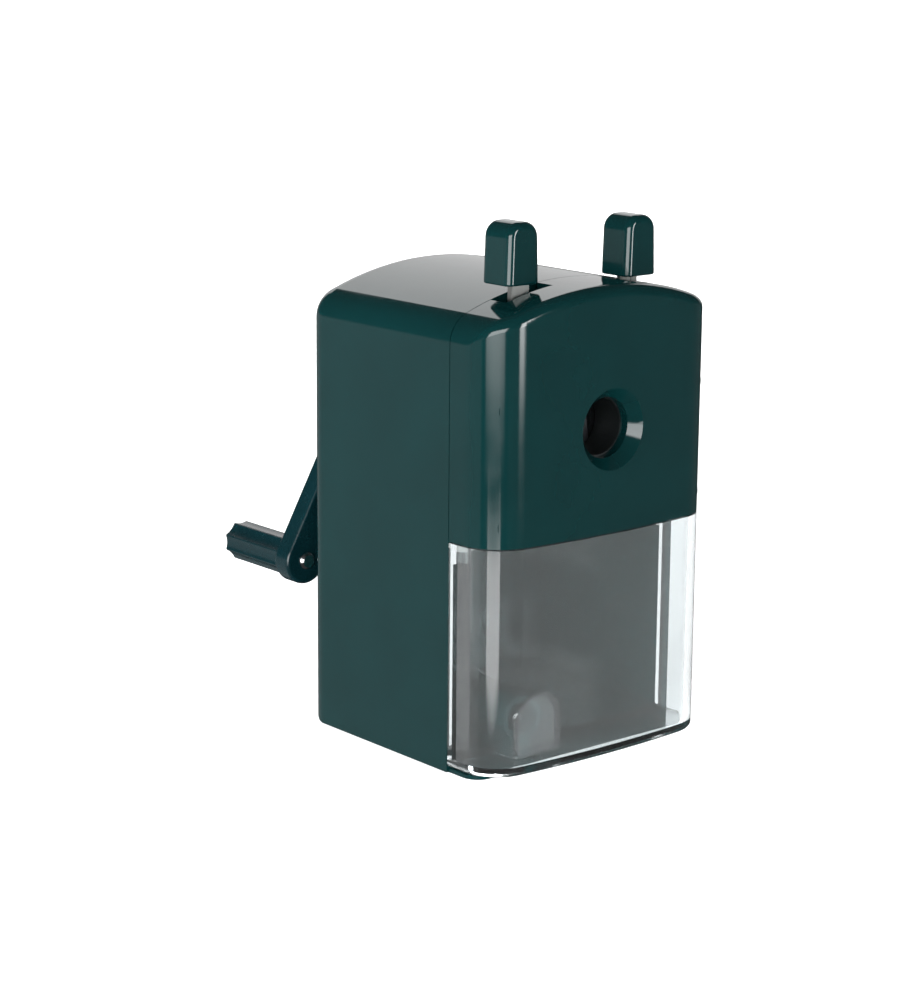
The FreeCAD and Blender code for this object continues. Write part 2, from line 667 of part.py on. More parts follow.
def cone_gear(corners, middle, start, end):
    """Teeth between two distances from the apex, shrinking towards it, along +Z."""
    wires = []
    for reach in (start, end):
        points = [Vector(x * reach / middle, y * reach / middle, reach) for x, y in corners]
        wires.append(Part.makePolygon(points + points[:1]))
    return Part.makeLoft(wires, True, True)


def gear_sizes():
    """Cone angles and tooth size of the ring gear and the pinion, from the tooth counts and tilt."""
    tilt = math.radians(size("tilt"))
    ratio = size("ring_teeth") / size("pinion_teeth")
    pinion_cone = math.atan(math.sin(tilt) / (ratio - math.cos(tilt)))
    ring_cone = pinion_cone + tilt
    reach = size("mesh_reach")
    pinion_pitch = reach * math.tan(pinion_cone)
    ring_reach = reach / math.cos(pinion_cone) * math.cos(ring_cone)
    ring_pitch = ring_reach * math.tan(ring_cone)
    module = 2 * pinion_pitch / size("pinion_teeth")
    return module, pinion_pitch, ring_pitch, ring_reach


def make_ring_gear():
    """Fixed internal gear, whose teeth lie on a cone about the common apex."""
    module, pinion_pitch, ring_pitch, ring_reach = gear_sizes()
    front = size(PLATE_BACK)
    back = front + size("ring_length")
    start = size(APEX) - back
    outer = Part.makeCylinder(size("ring_radius"), back - front, Vector(0, 0, start))
    half_space = math.pi * module / 4 + size("backlash") / 2
    corners = gear_outline(int(size("ring_teeth")), ring_pitch, 1.15 * module, 0.8 * module, half_space)
    teeth_end = start + (back - front) - size("ring_flange")
    teeth = cone_gear(corners, ring_reach, start - 1, teeth_end)
    bore = Part.makeCylinder(size("ring_bore"), back - front + 2, Vector(0, 0, start - 1))
    shape = outer.cut(teeth).cut(bore)
    for step in range(3):
        turn = math.radians(90 + 120 * step)
        spot = Vector(math.cos(turn), math.sin(turn), 0) * size("ring_screw_ring")
        hole_start = start + (back - front) - size("ring_flange") + 0.2
        shape = shape.cut(Part.makeCylinder(size("ring_screw + fit"), size("ring_flange"),
                                            spot + Vector(0, 0, hole_start)))
    ring = doc.addObject("Part::Feature", "ring_gear")
    ring.Shape = shape
    return place(ring, "0", APEX, "axis_height", (1, 0, 0), "90")


def make_rear_bearing():
    return sleeve("rear_bearing", "shaft_radius + bearing_wall", "shaft_radius + running",
                  f"{REAR} - boss_in", f"{REAR} + boss_out", "0", "axis_height")


def feet():
    """Centres of the four rubber pads let into the underside."""
    for side, sign in SIDES:
        x = f"{sign} * (width / 2 - foot_inset)"
        yield f"{side}_front", x, f"{SEAM} + foot_radius"
        yield f"{side}_rear", x, f"{REAR} - foot_inset - rear_round / 2"


def make_feet():
    """Four rubber pads, level with the housing's underside."""
    return [prism("foot_" + name, "XY", "0", "foot_height", circles=[(x, y, "foot_radius")])
            for name, x, y in feet()]


# ---------------------------------------------------------------- crank body

def make_carrier():
    """Turning carrier: front disc, tapered drum with the cutter's slot, rear hub."""
    drum = revolve("carrier_drum", [
        ("0", DISC_FRONT),
        ("disc_radius", DISC_FRONT),
        ("disc_radius", f"{DISC_FRONT} + disc_wall"),
        ("drum_front", f"{DISC_FRONT} + disc_wall"),
        ("drum_back", DRUM_END),
        ("hub_radius", DRUM_END),
        ("hub_radius", HUB_END),
        ("0", HUB_END),
    ])
    slot = box("carrier_slot", "-cutter_slot", "cutter_slot", f"{DISC_FRONT} + disc_wall", DRUM_END,
               "axis_height - slot_floor", "axis_height + disc_radius + 1")
    bore = cylinder("carrier_bore", "pencil_bore", f"{DISC_FRONT} - 1",
                    f"{DRUM_END} - pencil_bore_short", "0", "axis_height")
    window = box("carrier_window", "-window_half", "window_half",
                 f"{PLATE_BACK} + window_front", f"{DRUM_END} - window_short",
                 "axis_height - drum_front - 1", "axis_height")
    shaft_hole = cylinder("carrier_shaft_hole", "shaft_radius + fit", SHAFT_FRONT, f"{HUB_END} + 1",
                          "0", "axis_height")
    axle_hole = axle_bar("carrier_axle_hole", "axle_radius + fit", "axle_back - 0.2", "axle_front + 2")
    return cut("cutter_carrier", drum, [slot, bore, window, shaft_hole, axle_hole])


def axle_bar(name, radius, start, end):
    """A round bar on the cutter's inclined axis, between two distances from the apex."""
    bar = doc.addObject("Part::Cylinder", name)
    bar.setExpression("Radius", bound(radius))
    bar.setExpression("Height", bound(f"({end}) - ({start})"))
    reach = f"({start})"
    place(bar, "0", f"{APEX} - {reach} * cos(tilt)", f"axis_height + {reach} * sin(tilt)",
          (1, 0, 0), "90 - tilt")
    return bar


def make_drive_shaft():
    """Steel shaft from the carrier's hub to the crank, tapped for the crank screw."""
    end = f"({ARM_BACK} - 0.6)"
    return revolve("drive_shaft", [
        ("0", SHAFT_FRONT),
        ("shaft_radius", SHAFT_FRONT),
        ("shaft_radius", end),
        ("crank_screw + fit", end),
        ("crank_screw + fit", f"{ARM_BACK} - crank_screw_length - 0.5"),
        ("0", f"{ARM_BACK} - crank_screw_length - 0.5"),
    ])


def make_crank_arm():
    """Tapered arm with a hub at one end and the knob's eye at the other."""
    lean = "asin((crank_hub - crank_end) / crank_radius)"
    knob_z = "-crank_radius"
    body = doc.addObject("PartDesign::Body", "crank_arm")
    body.Label = "crank_arm"
    sketch = new_sketch(body, "arm_outline", "XZ_Plane", f"-{ARM_BACK}")
    add_outline(sketch, [
        (f"crank_hub * cos({lean})", f"-crank_hub * sin({lean})", "crank_hub"),
        (f"-crank_hub * cos({lean})", f"-crank_hub * sin({lean})"),
        (f"-crank_end * cos({lean})", f"{knob_z} - crank_end * sin({lean})", "crank_end"),
        (f"crank_end * cos({lean})", f"{knob_z} - crank_end * sin({lean})"),
    ])
    add_pad(body, "arm_pad", sketch, "crank_wall")
    round_edges(body, "arm_edges", "crank_edge", lambda edge: not along(edge, "y"))
    hub = new_sketch(body, "arm_hub", "XZ_Plane", f"-{ARM_BACK} + crank_wall / 2")
    add_circle(hub, "0", "0", "crank_hub")
    add_pad(body, "hub_pad", hub, f"{ARM_BACK} - {HUB_FRONT} - crank_wall / 2")
    holes = new_sketch(body, "arm_holes", "XZ_Plane", f"-{HUB_FRONT} + 1")
    add_circle(holes, "0", "0", "shaft_radius + fit")
    add_circle(holes, "0", knob_z, "rivet_radius + fit")
    drilled = body.newObject("PartDesign::Pocket", "arm_drilled")
    drilled.Profile = holes
    drilled.setExpression("Length", bound("crank_wall + crank_face + 5"))
    body.Tip = drilled
    place(body, "0", "0", "axis_height", (0, 1, 0), "crank_angle")
    body.setExpression("Placement.Rotation.Angle", bound("crank_angle"))
    return body


KNOB_X = "(-crank_radius * sin(crank_angle))"
KNOB_Z = "(axis_height - crank_radius * cos(crank_angle))"


def make_crank_screw():
    screw = revolve("crank_screw", [
        ("0", "crank_screw_height"),
        ("crank_screw_head * 0.8", "crank_screw_height"),
        ("crank_screw_head", "crank_screw_height * 0.5"),
        ("crank_screw_head", "0"),
        ("crank_screw", "0"),
        ("crank_screw", "-crank_screw_length"),
        ("0", "-crank_screw_length"),
    ], ARM_BACK)
    return screw


def make_knob_rivet():
    """Shouldered rivet through the arm's eye and the knob."""
    far = f"({KNOB_BACK} - knob_counterbore_depth + 0.15)"
    rivet = revolve("knob_rivet", [
        ("0", f"{ARM_FRONT} - rivet_head_wall"),
        ("rivet_head * 0.75", f"{ARM_FRONT} - rivet_head_wall"),
        ("rivet_head", f"{ARM_FRONT} - rivet_head_wall * 0.3"),
        ("rivet_head", ARM_FRONT),
        ("rivet_radius", ARM_FRONT),
        ("rivet_radius", far),
        ("rivet_head", far),
        ("rivet_head", f"{far} + rivet_head_wall"),
        ("0", f"{far} + rivet_head_wall"),
    ], "0", KNOB_Z)
    rivet.setExpression("Placement.Base.x", bound(KNOB_X))
    return rivet


def make_knob():
    """Turning knob with eight hollow flutes, bored for the rivet and counterbored for its head."""
    body = prism("crank_knob", "XZ", KNOB_FRONT, KNOB_BACK,
                 circles=[("0", "0", "knob_radius"), ("0", "0", "rivet_radius + running")])
    flute = new_sketch(body, "knob_flute_sketch", "XZ_Plane", f"-{KNOB_BACK} - 1")
    add_circle(flute, "0", "knob_radius - knob_flute_depth + knob_flute", "knob_flute")
    solid_volume = body.Shape.Volume
    groove = body.newObject("PartDesign::Pocket", "knob_groove")
    groove.Profile = flute
    groove.Reversed = True
    groove.setExpression("Length", bound("knob_length + 2"))
    body.Tip = groove
    doc.recompute()
    if body.Shape.Volume > solid_volume - 1:
        raise RuntimeError("the knob's flute cut nothing")
    pattern = body.newObject("PartDesign::PolarPattern", "knob_flutes")
    pattern.Originals = [groove]
    pattern.Axis = (flute, ["N_Axis"])
    pattern.Angle = 360
    pattern.Occurrences = 8
    body.Tip = pattern
    doc.recompute()
    seat = new_sketch(body, "knob_seat_sketch", "XZ_Plane", f"-{KNOB_BACK}")
    add_circle(seat, "0", "0", "knob_counterbore")
    counterbore = body.newObject("PartDesign::Pocket", "knob_seat")
    counterbore.Profile = seat
    counterbore.Reversed = True
    counterbore.setExpression("Length", bound("knob_counterbore_depth"))
    body.Tip = counterbore
    doc.recompute()
    return body


# ---------------------------------------------------------------- cutter body

def make_cutter():
    """Helical milling cutter: twelve hooked flutes twisted along the inclined axis."""
    radius = size("cutter_radius")
    flutes = int(size("flutes"))
    start = size("cutter_back")
    end = size("cutter_front")
    slices = 7
    twist = 60
    wires = []
    for step in range(slices):
        turn = twist * step / (slices - 1)
        corners = []
        for tooth in range(flutes):
            for share, depth in ((0, 0), (0.25, 0.15), (0.85, 1)):
                angle = math.radians(turn + (tooth + share) * 360 / flutes)
                reach = radius - depth * size("flute_depth")
                corners.append(Vector(reach * math.cos(angle), reach * math.sin(angle),
                                      start + (end - start) * step / (slices - 1)))
        wires.append(Part.makePolygon(corners + corners[:1]))
    body = Part.makeLoft(wires, True, True)
    bore = Part.makeCylinder(size("axle_radius + 0.1"), end - start + 2, Vector(0, 0, start - 1))
    cutter = doc.addObject("Part::Feature", "helical_cutter")
    cutter.Shape = body.cut(bore)
    return place(cutter, "0", APEX, "axis_height", (1, 0, 0), "90 - tilt")


def make_pinion():
    """Pinion in front of the cutter and fixed to it."""
    module, pitch, ring_pitch, ring_reach = gear_sizes()
    half_tooth = math.pi * module / 4 - size("backlash") / 2
    corners = gear_outline(int(size("pinion_teeth")), pitch, 0.8 * module, 1.15 * module, half_tooth)
    teeth = cone_gear(corners, size("mesh_reach"), size("pinion_back"), size("pinion_front"))
    start = size("cutter_front")
    neck = Part.makeCylinder(size("cutter_radius - 1.5"), size("pinion_back") - start + 0.5,
                             Vector(0, 0, start))
    bore = Part.makeCylinder(size("axle_radius + 0.1"), size("pinion_front") - start + 2,
                             Vector(0, 0, start - 1))
    pinion = doc.addObject("Part::Feature", "cutter_pinion")
    pinion.Shape = teeth.fuse(neck).cut(bore)
    return place(pinion, "0", APEX, "axis_height", (1, 0, 0), "90 - tilt")


# ---------------------------------------------------------------- head body

def make_front_cover():
    """The head's moulded cover: crowned and bowed, with the funnel and two lever slots."""
    back = f"({SEAM} - seam_gap)"
    outer = common("cover_outer",
                   crowned_block("cover_arch", f"{FRONT} - 1", back, "head_bottom", "0"),
                   plan_block("cover_plan", "head_bottom - 1", "body_top + 1", f"{back} + 1", "0"))
    front_limit = size(f"{FRONT} + front_corner * 0.9")
    low = size("head_bottom") + 20
    smooth = fillet_part("cover_rounded", outer, "head_edge",
                         lambda edge: spans(edge, "Y", -1e3, front_limit) and spans(edge, "Z", low, 1e3)
                         and edge.BoundBox.ZLength < 8 and not along(edge, "y"))
    cavity = common("cover_cavity",
                    crowned_block("cavity_arch", f"{FRONT} - 1", f"{back} + 1", "head_bottom + wall", "wall"),
                    plan_block("cavity_plan", "head_bottom", "body_top + 1", f"{back} + 2", "wall"))
    shell = cut("cover_shell", smooth, [cavity])
    solids = [shell, cylinder("funnel_boss_bar", "funnel_boss", f"{FRONT} + wall / 2", FUNNEL_BACK,
                              "0", "axis_height")]
    solids += [cylinder("cover_boss_" + name, "post_radius", f"{FRONT} + wall + bow / 2", CHUCK_FRONT, x, z)
               for name, x, z in head_screws()]
    solid = fuse("cover_solid", solids)
    throat = "(hole_radius + throat_step)"
    funnel = revolve("cover_funnel", [
        ("0", f"{FRONT} - 1"),
        (f"funnel_radius + (funnel_radius - {throat}) / funnel_depth", f"{FRONT} - 1"),
        (throat, f"{FRONT} + funnel_depth"),
        (throat, f"{FUNNEL_BACK} + 1"),
        ("0", f"{FUNNEL_BACK} + 1"),
    ])
    holes = [funnel]
    holes += [box(f"cover_slot_{side}",
                  f"min({sign} * cover_slot_in; {sign} * cover_slot_out)",
                  f"max({sign} * cover_slot_in; {sign} * cover_slot_out)",
                  f"{SEAM} - cover_slot_depth", f"{SEAM} + 1", "body_top - 14", "body_top + 1")
              for side, sign in SIDES]
    holes += [cylinder("cover_hole_" + name, "screw_radius + fit",
                       f"{CHUCK_BACK} - screw_length - 0.5", f"{CHUCK_BACK} + 1", x, z)
              for name, x, z in head_screws()]
    return cut("front_cover", solid, holes)


def make_chuck_plate():
    """Steel plate at the back of the head: it carries the rods and the rear sleeve."""
    holes = [("0", "axis_height", f"{SLEEVE_RADIUS} + fit")]
    holes += [(f"{sign} * {ROD_X}", ROD_Z, "rod_radius + fit") for side, sign in SIDES]
    plate = rounded_plate("chuck_blank", CHUCK_FRONT, CHUCK_BACK, PLATE_HALF,
                          "(axis_height - chuck_down)", f"({crown_shoulder('wall')} - chuck_top_gap)",
                          "plate_corner", holes)
    sinks = []
    for name, x, z in head_screws():
        sink = doc.addObject("Part::Cone", "chuck_sink_" + name)
        sink.setExpression("Radius1", bound("screw_radius + fit"))
        sink.setExpression("Radius2", bound("screw_head + fit"))
        sink.setExpression("Height", bound("chuck_wall"))
        sinks.append(place(sink, x, CHUCK_FRONT, z, (1, 0, 0), "-90"))
    return cut("chuck_plate", plate, sinks)


def make_front_sleeve():
    """Flanged sleeve behind the funnel, on which the left lever turns."""
    outer = SLEEVE_RADIUS
    return revolve("front_sleeve", [
        ("hole_radius", FUNNEL_BACK),
        (SLEEVE_FLANGE_RADIUS, FUNNEL_BACK),
        (SLEEVE_FLANGE_RADIUS, f"{FUNNEL_BACK} + sleeve_flange_wall"),
        (outer, f"{FUNNEL_BACK} + sleeve_flange_wall"),
        (outer, LEFT_RING_BACK),
        ("hole_radius", LEFT_RING_BACK),
    ])


def make_rear_sleeve():
    """Flanged sleeve in the chuck plate, on which the right lever turns."""
    outer = SLEEVE_RADIUS
    return revolve("rear_sleeve", [
        ("hole_radius", RIGHT_RING_FRONT),
        (outer, RIGHT_RING_FRONT),
        (outer, CHUCK_BACK),
        (SLEEVE_FLANGE_RADIUS, CHUCK_BACK),
        (SLEEVE_FLANGE_RADIUS, f"{CHUCK_BACK} + sleeve_flange_wall * 0.8"),
        ("hole_radius", f"{CHUCK_BACK} + sleeve_flange_wall * 0.8"),
    ])


def make_guide_rod(side, sign):
    rod = revolve(f"guide_rod_{side}", [
        ("0", CHUCK_FRONT),
        ("rod_radius", CHUCK_FRONT),
        ("rod_radius", f"{ROD_BACK} - 0.5"),
        ("rod_radius - 0.5", ROD_BACK),
        ("0", ROD_BACK),
    ], "0", ROD_Z)
    rod.setExpression("Placement.Base.x", bound(f"{sign} * {ROD_X}"))
    return rod


def make_rod_clip(side, sign):
    return sleeve(f"rod_clip_{side}", FLANGE_RADIUS, "rod_radius + fit", CLIP_FRONT,
                  f"{CLIP_FRONT} + clip_wall", f"{sign} * {ROD_X}", ROD_Z)


def make_head_screw(name, x, z):
    """Countersunk screw, flush with the chuck plate's rear face."""
    screw = revolve("head_screw_" + name, [
        ("0", "-screw_length"),
        ("screw_radius", "-screw_length"),
        ("screw_radius", "-chuck_wall"),
        ("screw_head", "0"),
        ("0", "0"),
    ], CHUCK_BACK, z)
    screw.setExpression("Placement.Base.x", bound(x))
    return screw


def coil(radius, wire, pitch, turns):
    """A round-wire coil about +Z."""
    path = Part.makeHelix(pitch, pitch * turns, radius)
    section = Part.Wire(Part.Circle(Vector(radius, 0, 0), Vector(0, 1, 0), wire).toShape())
    return Part.Wire(path).makePipeShell([section], True, True)


def make_lever_spring():
    """Torsion spring round the front sleeve, with a leg towards each lever."""
    wire = size("lever_spring_wire")
    turns = size("lever_spring_turns")
    radius = size(LEVER_SPRING_RADIUS)
    leg = size("lever_spring_leg")
    pitch = 2 * wire + 0.25
    shape = coil(radius, wire, pitch, turns)
    for turn, height in ((0, 0), (360 * turns, pitch * turns)):
        angle = math.radians(turn)
        corner = Vector(radius * math.cos(angle), radius * math.sin(angle), height)
        outward = Vector(math.cos(angle), math.sin(angle), 0)
        shape = shape.fuse(Part.makeCylinder(wire * 0.98, leg, corner - outward * wire * 0.7, outward))
    spring = doc.addObject("Part::Feature", "lever_spring")
    spring.Shape = shape
    return place(spring, "0", f"{FUNNEL_BACK} + sleeve_flange_wall + lever_spring_wire + 0.1",
                 "axis_height", (1, 0, 0), "-90")


def make_feed_spring(side, sign):
    """Compression spring round a guide rod, from the rod bush to the rod clip."""
    wire = size("spring_wire")
    front = size(f"{PLATE_BACK} + bush_flange_wall")
    back = size(CLIP_FRONT)
    turns = size("spring_turns")
    pitch = (back - front - 2 * wire) / turns
    spring = doc.addObject("Part::Feature", f"feed_spring_{side}")
    spring.Shape = coil(size(SPRING_RADIUS), wire, pitch, turns)
    place(spring, f"{sign} * {ROD_X}", f"{PLATE_BACK} + bush_flange_wall + spring_wire",
          ROD_Z, (1, 0, 0), "-90")
    return spring


# ---------------------------------------------------------------- levers and jaws

def lever_outline(side, sign):
    """The stem beside the ring and the gusset that joins them, about the pencil axis."""
    outside = f"({sign} * (stem_x + stem_width / 2))"
    inside = f"({sign} * (stem_x - stem_width / 2))"
    top = f"({CAP_BOTTOM[side]} - axis_height + stem_top)"
    corners = [
        (outside, top),
        (inside, top),
        (inside, "ring_plate_radius + 1"),
        (f"{sign} * ring_plate_radius * 0.3", "ring_plate_radius * 0.9"),
        (f"{sign} * ring_plate_radius * 0.6", "0"),
        (f"{sign} * ring_plate_radius * 0.97", "0"),
        (outside, "ring_plate_radius * 0.3"),
    ]
    return corners if sign < 0 else corners[::-1]


def make_lever(side, sign, start, end, holes):
    """A steel ring with an offset stem, turning about the pencil axis."""
    arm = prism(f"{side}_stem", "XZ", start, end, lever_outline(side, sign))
    ring = prism(f"{side}_ring", "XZ", start, end, circles=[("0", "0", "ring_plate_radius")])
    bore = cylinder(f"{side}_bore", f"{SLEEVE_RADIUS} + running", f"{start} - 1", f"{end} + 1")
    whole = fuse(f"{side}_blank", [arm, ring])
    lever = cut(f"{side}_lever", whole, [bore] + holes)
    return place(lever, "0", "0", "axis_height")


def jaw_places():
    """The three jaws round the axis."""
    return [(step + 1, 30 + 120 * step) for step in range(3)]


def turned(x, z, angle):
    """Turn a point about the pencil axis, anticlockwise as seen from the front."""
    return (f"(({x}) * cos({angle}) - ({z}) * sin({angle}))",
            f"(({x}) * sin({angle}) + ({z}) * cos({angle}))")


def make_left_lever():
    holes = []
    for number, angle in jaw_places():
        x, z = turned("jaw_pivot", "0", angle)
        holes.append(cylinder(f"left_pivot_hole_{number}", "jaw_pin + running",
                              f"{LEFT_RING_FRONT} - 1", f"{LEFT_RING_BACK} + 1", x, z))
    return make_lever("left", -1, LEFT_RING_FRONT, LEFT_RING_BACK, holes)


def make_right_lever():
    """Each drive pin runs in a cam slot, from its closed place to its open place."""
    swing = "(lever_angle * jaw_ratio)"
    open_x = f"(jaw_pivot + jaw_drive * sin{swing})"
    open_z = f"(jaw_drive * cos{swing})"
    half = "(drive_pin + drive_clearance)"
    holes = []
    for number, angle in jaw_places():
        near = turned("jaw_pivot", "jaw_drive", angle)
        far = turned(open_x, open_z, f"{angle} - 2 * lever_angle")
        middle = turned(f"({open_x} + jaw_pivot) / 2 + 0.2", f"({open_z} + jaw_drive) / 2",
                        f"{angle} - lever_angle")
        for end, spot in (("near", near), ("middle", middle), ("far", far)):
            holes.append(cylinder(f"right_cam_{end}_{number}", half, f"{RIGHT_RING_FRONT} - 1",
                                  f"{RIGHT_RING_BACK} + 1", spot[0], spot[1]))
        holes.append(cam_bar(f"right_cam_first_{number}", near, middle, half))
        holes.append(cam_bar(f"right_cam_second_{number}", middle, far, half))
    return make_lever("right", 1, RIGHT_RING_FRONT, RIGHT_RING_BACK, holes)


def cam_bar(name, near, far, half):
    """The straight part of a slot between two round ends."""
    run = f"sqrt(({far[0]} - {near[0]}) ^ 2 + ({far[1]} - {near[1]}) ^ 2)"
    across_x = f"(({far[1]} - {near[1]}) / {run} * {half})"
    across_z = f"(({near[0]} - {far[0]}) / {run} * {half})"
    return prism(name, "XZ", f"{RIGHT_RING_FRONT} - 1", f"{RIGHT_RING_BACK} + 1", [
        (f"{near[0]} + {across_x}", f"{near[1]} + {across_z}"),
        (f"{far[0]} + {across_x}", f"{far[1]} + {across_z}"),
        (f"{far[0]} - {across_x}", f"{far[1]} - {across_z}"),
        (f"{near[0]} - {across_x}", f"{near[1]} - {across_z}"),
    ])


def make_cap(side, sign, start, end):
    """Finger cap pressed on a lever's stem: a block with a rounded top."""
    half_width = "(cap_width / 2 - cap_taper)"
    bottom = CAP_BOTTOM[side]
    top = f"({bottom} + cap_height)"
    x = f"({sign} * stem_x)"
    blank = prism(f"{side}_cap_blank", "XZ", f"{CHUCK_BACK} - cap_middle - cap_depth / 2",
                  f"{CHUCK_BACK} - cap_middle + cap_depth / 2", [
        (f"{x} - cap_width / 2", bottom),
        (f"{x} + cap_width / 2", bottom),
        (f"{x} + {half_width}", f"{top} - cap_round", "cap_round"),
        (f"{x} + {half_width} - cap_round", top),
        (f"{x} - {half_width} + cap_round", top, "cap_round"),
        (f"{x} - {half_width}", f"{top} - cap_round"),
    ])
    low = size(bottom) + 0.01
    round_edges(blank, f"{side}_cap_edges", "cap_edge", lambda edge: not along(edge, "y")
                and edge.BoundBox.ZMax > low)
    round_edges(blank, f"{side}_cap_rim", "cap_rim", lambda edge: edge.BoundBox.ZMax < low)
    slot = box(f"{side}_cap_slot", f"{x} - stem_width / 2 - fit", f"{x} + stem_width / 2 + fit",
               f"{start} - fit", f"{end} + fit", f"{bottom} - 1", f"{bottom} + stem_top + fit")
    return cut(f"{side}_cap", blank, [slot])


def make_jaw(number, angle):
    """A jaw: a plate with a gripping edge beside the axis, a pivot pin in front, a drive pin behind."""
    near = "(-jaw_tip)"
    plate = prism(f"jaw_plate_{number}", "XZ", JAW_FRONT, JAW_BACK, [
        (near, "jaw_grip"),
        ("jaw_grip * 1.6", "jaw_grip"),
        ("jaw_pivot - jaw_head * 0.6", "-jaw_head * 0.8"),
        ("jaw_pivot + jaw_head * 0.9", "0"),
        ("jaw_pivot + jaw_head * 0.8", "jaw_drive"),
        ("jaw_pivot - jaw_head * 0.6", "jaw_drive + jaw_head * 0.6"),
        ("jaw_pivot * 0.5", "jaw_grip + jaw_width"),
        (near, "jaw_grip + jaw_width * 0.6"),
    ])
    head = cylinder(f"jaw_head_{number}", "jaw_head", JAW_FRONT, JAW_BACK, "jaw_pivot", "0")
    pivot = cylinder(f"jaw_pivot_{number}", "jaw_pin", LEFT_RING_FRONT, f"{JAW_FRONT} + jaw_wall / 2",
                     "jaw_pivot", "0")
    drive = cylinder(f"jaw_drive_{number}", "drive_pin", f"{JAW_BACK} - jaw_wall / 2", RIGHT_RING_BACK,
                     "jaw_pivot", "jaw_drive")
    jaw = fuse(f"jaw_{number}", [plate, head, pivot, drive])
    return place(jaw, "0", "0", "axis_height", (0, 1, 0), f"-{angle}")


# ---------------------------------------------------------------- drawer body

def make_drawer():
    """Clear drawer: a front with the head's plan, a narrower tray behind, a tunnel over the socket."""
    back = f"({SEAM} - seam_gap)"
    top = "(head_bottom - drawer_gap)"
    front = plan_block("drawer_front", DRAWER_BOTTOM, top, back, "0")
    low = size(DRAWER_BOTTOM)
    edge_back = size(back)
    round_edges(front, "drawer_front_edge", "drawer_edge",
                lambda edge: spans(edge, "Z", low - 0.01, low + 0.01) and not
                spans(edge, "Y", edge_back - 0.01, edge_back + 0.01))
    tray = box("drawer_tray", f"-{TRAY_HALF}", TRAY_HALF, f"{back} - drawer_wall", TRAY_END,
               TRAY_BOTTOM, TRAY_TOP)
    tunnel_x = "(-socket_offset)"
    tunnel_start = f"({FRONT} + tunnel_front)"
    roof = f"({TUNNEL_BORE} + tunnel_wall)"
    tunnel = prism("drawer_tunnel", "XZ", tunnel_start, TRAY_END,
                   tunnel_outline(tunnel_x, roof, f"{TRAY_BOTTOM} + 0.2"))
    outside = fuse("drawer_outside", [front, tray])
    inside_front = plan_block("drawer_inside_front", f"{DRAWER_BOTTOM} + drawer_wall", f"{top} + 1",
                              f"{back} - drawer_wall", "drawer_wall")
    inside_tray = box("drawer_inside_tray", f"-{TRAY_HALF} + drawer_wall", f"{TRAY_HALF} - drawer_wall",
                      f"{back} - drawer_wall - 1", f"{TRAY_END} - drawer_wall",
                      f"{TRAY_BOTTOM} + drawer_wall", f"{top} + 1")
    hollow = cut("drawer_hollow", outside, [inside_front, inside_tray])
    lined = fuse("drawer_lined", [hollow, tunnel])
    passage = prism("drawer_passage", "XZ", f"{tunnel_start} + tunnel_wall", f"{TRAY_END} + 1",
                    tunnel_outline(tunnel_x, TUNNEL_BORE, "0"))
    return cut("drawer", lined, [passage])


def tunnel_outline(x, radius, bottom):
    """An upright slot with a round top over the clamp socket."""
    return [
        (f"{x} - {radius}", bottom),
        (f"{x} + {radius}", bottom),
        (f"{x} + {radius}", "tunnel_height", radius),
        (f"{x} - {radius}", "tunnel_height"),
    ]


# ---------------------------------------------------------------- the whole sharpener

def make_all():
    """Every sub-part by node name."""
    nodes = [make_housing(), make_mechanism_plate(), make_ring_gear(), make_rear_bearing()]
    nodes += make_feet()
    for name, x, z in posts():
        nodes.append(pan_screw("plate_screw_" + name, "screw_radius", "screw_head", "screw_head_height",
                               "screw_length", PLATE_FRONT, x, z))
    for number, (x, z) in enumerate(ring_screw_places(), start=1):
        nodes.append(pan_screw(f"ring_screw_{number}", "ring_screw", "ring_screw_head",
                               "screw_head_height * 0.8", "plate_wall + ring_flange * 0.8",
                               PLATE_FRONT, x, z))
    nodes += [make_carrier(), make_drive_shaft(), axle_bar("cutter_axle", "axle_radius", "axle_back",
                                                           "axle_front")]
    nodes += [make_crank_arm(), make_crank_screw(), make_knob_rivet()]
    knob = make_knob()
    place(knob, KNOB_X, "0", KNOB_Z)
    nodes += [knob, make_cutter(), make_pinion()]
    nodes += [make_front_cover(), make_chuck_plate(), make_front_sleeve(), make_rear_sleeve()]
    nodes += [make_head_screw(name, x, z) for name, x, z in head_screws()]
    nodes.append(make_lever_spring())
    for side, sign in SIDES:
        nodes += [make_rod_bush(side, sign), make_guide_rod(side, sign), make_rod_clip(side, sign),
                  make_feed_spring(side, sign)]
    nodes += [make_left_lever(), make_cap("left", -1, LEFT_RING_FRONT, LEFT_RING_BACK)]
    nodes += [make_right_lever(), make_cap("right", 1, RIGHT_RING_FRONT, RIGHT_RING_BACK)]
    nodes += [make_jaw(number, angle) for number, angle in jaw_places()]
    nodes.append(make_drawer())
    return nodes


def check(nodes):
    """Stop before anything is written if an object failed or a shape is not one sound solid."""
    doc.recompute()
    for thing in doc.Objects:
        if "Invalid" in thing.State or "Error" in thing.State:
            raise RuntimeError(f"{thing.Name} failed: {thing.State}")
    for node in nodes:
        shape = node.Shape
        if shape.isNull() or not shape.isValid() or len(shape.Solids) != 1:
            raise RuntimeError(f"{node.Label} is not one valid solid: {len(shape.Solids)} solids")


def write(nodes):
    os.makedirs("parts", exist_ok=True)
    for node in nodes:
        node.Label = node.Name
        node.Shape.exportStep(f"parts/{node.Label}.step")
        bounds = node.Shape.BoundBox
        print(f"{node.Label:24s} {node.Shape.Volume:10.1f} mm3  x {bounds.XMin:7.2f} {bounds.XMax:7.2f}"
              f"  y {bounds.YMin:7.2f} {bounds.YMax:7.2f}  z {bounds.ZMin:7.2f} {bounds.ZMax:7.2f}")


sub_parts = make_all()
check(sub_parts)
write(sub_parts)
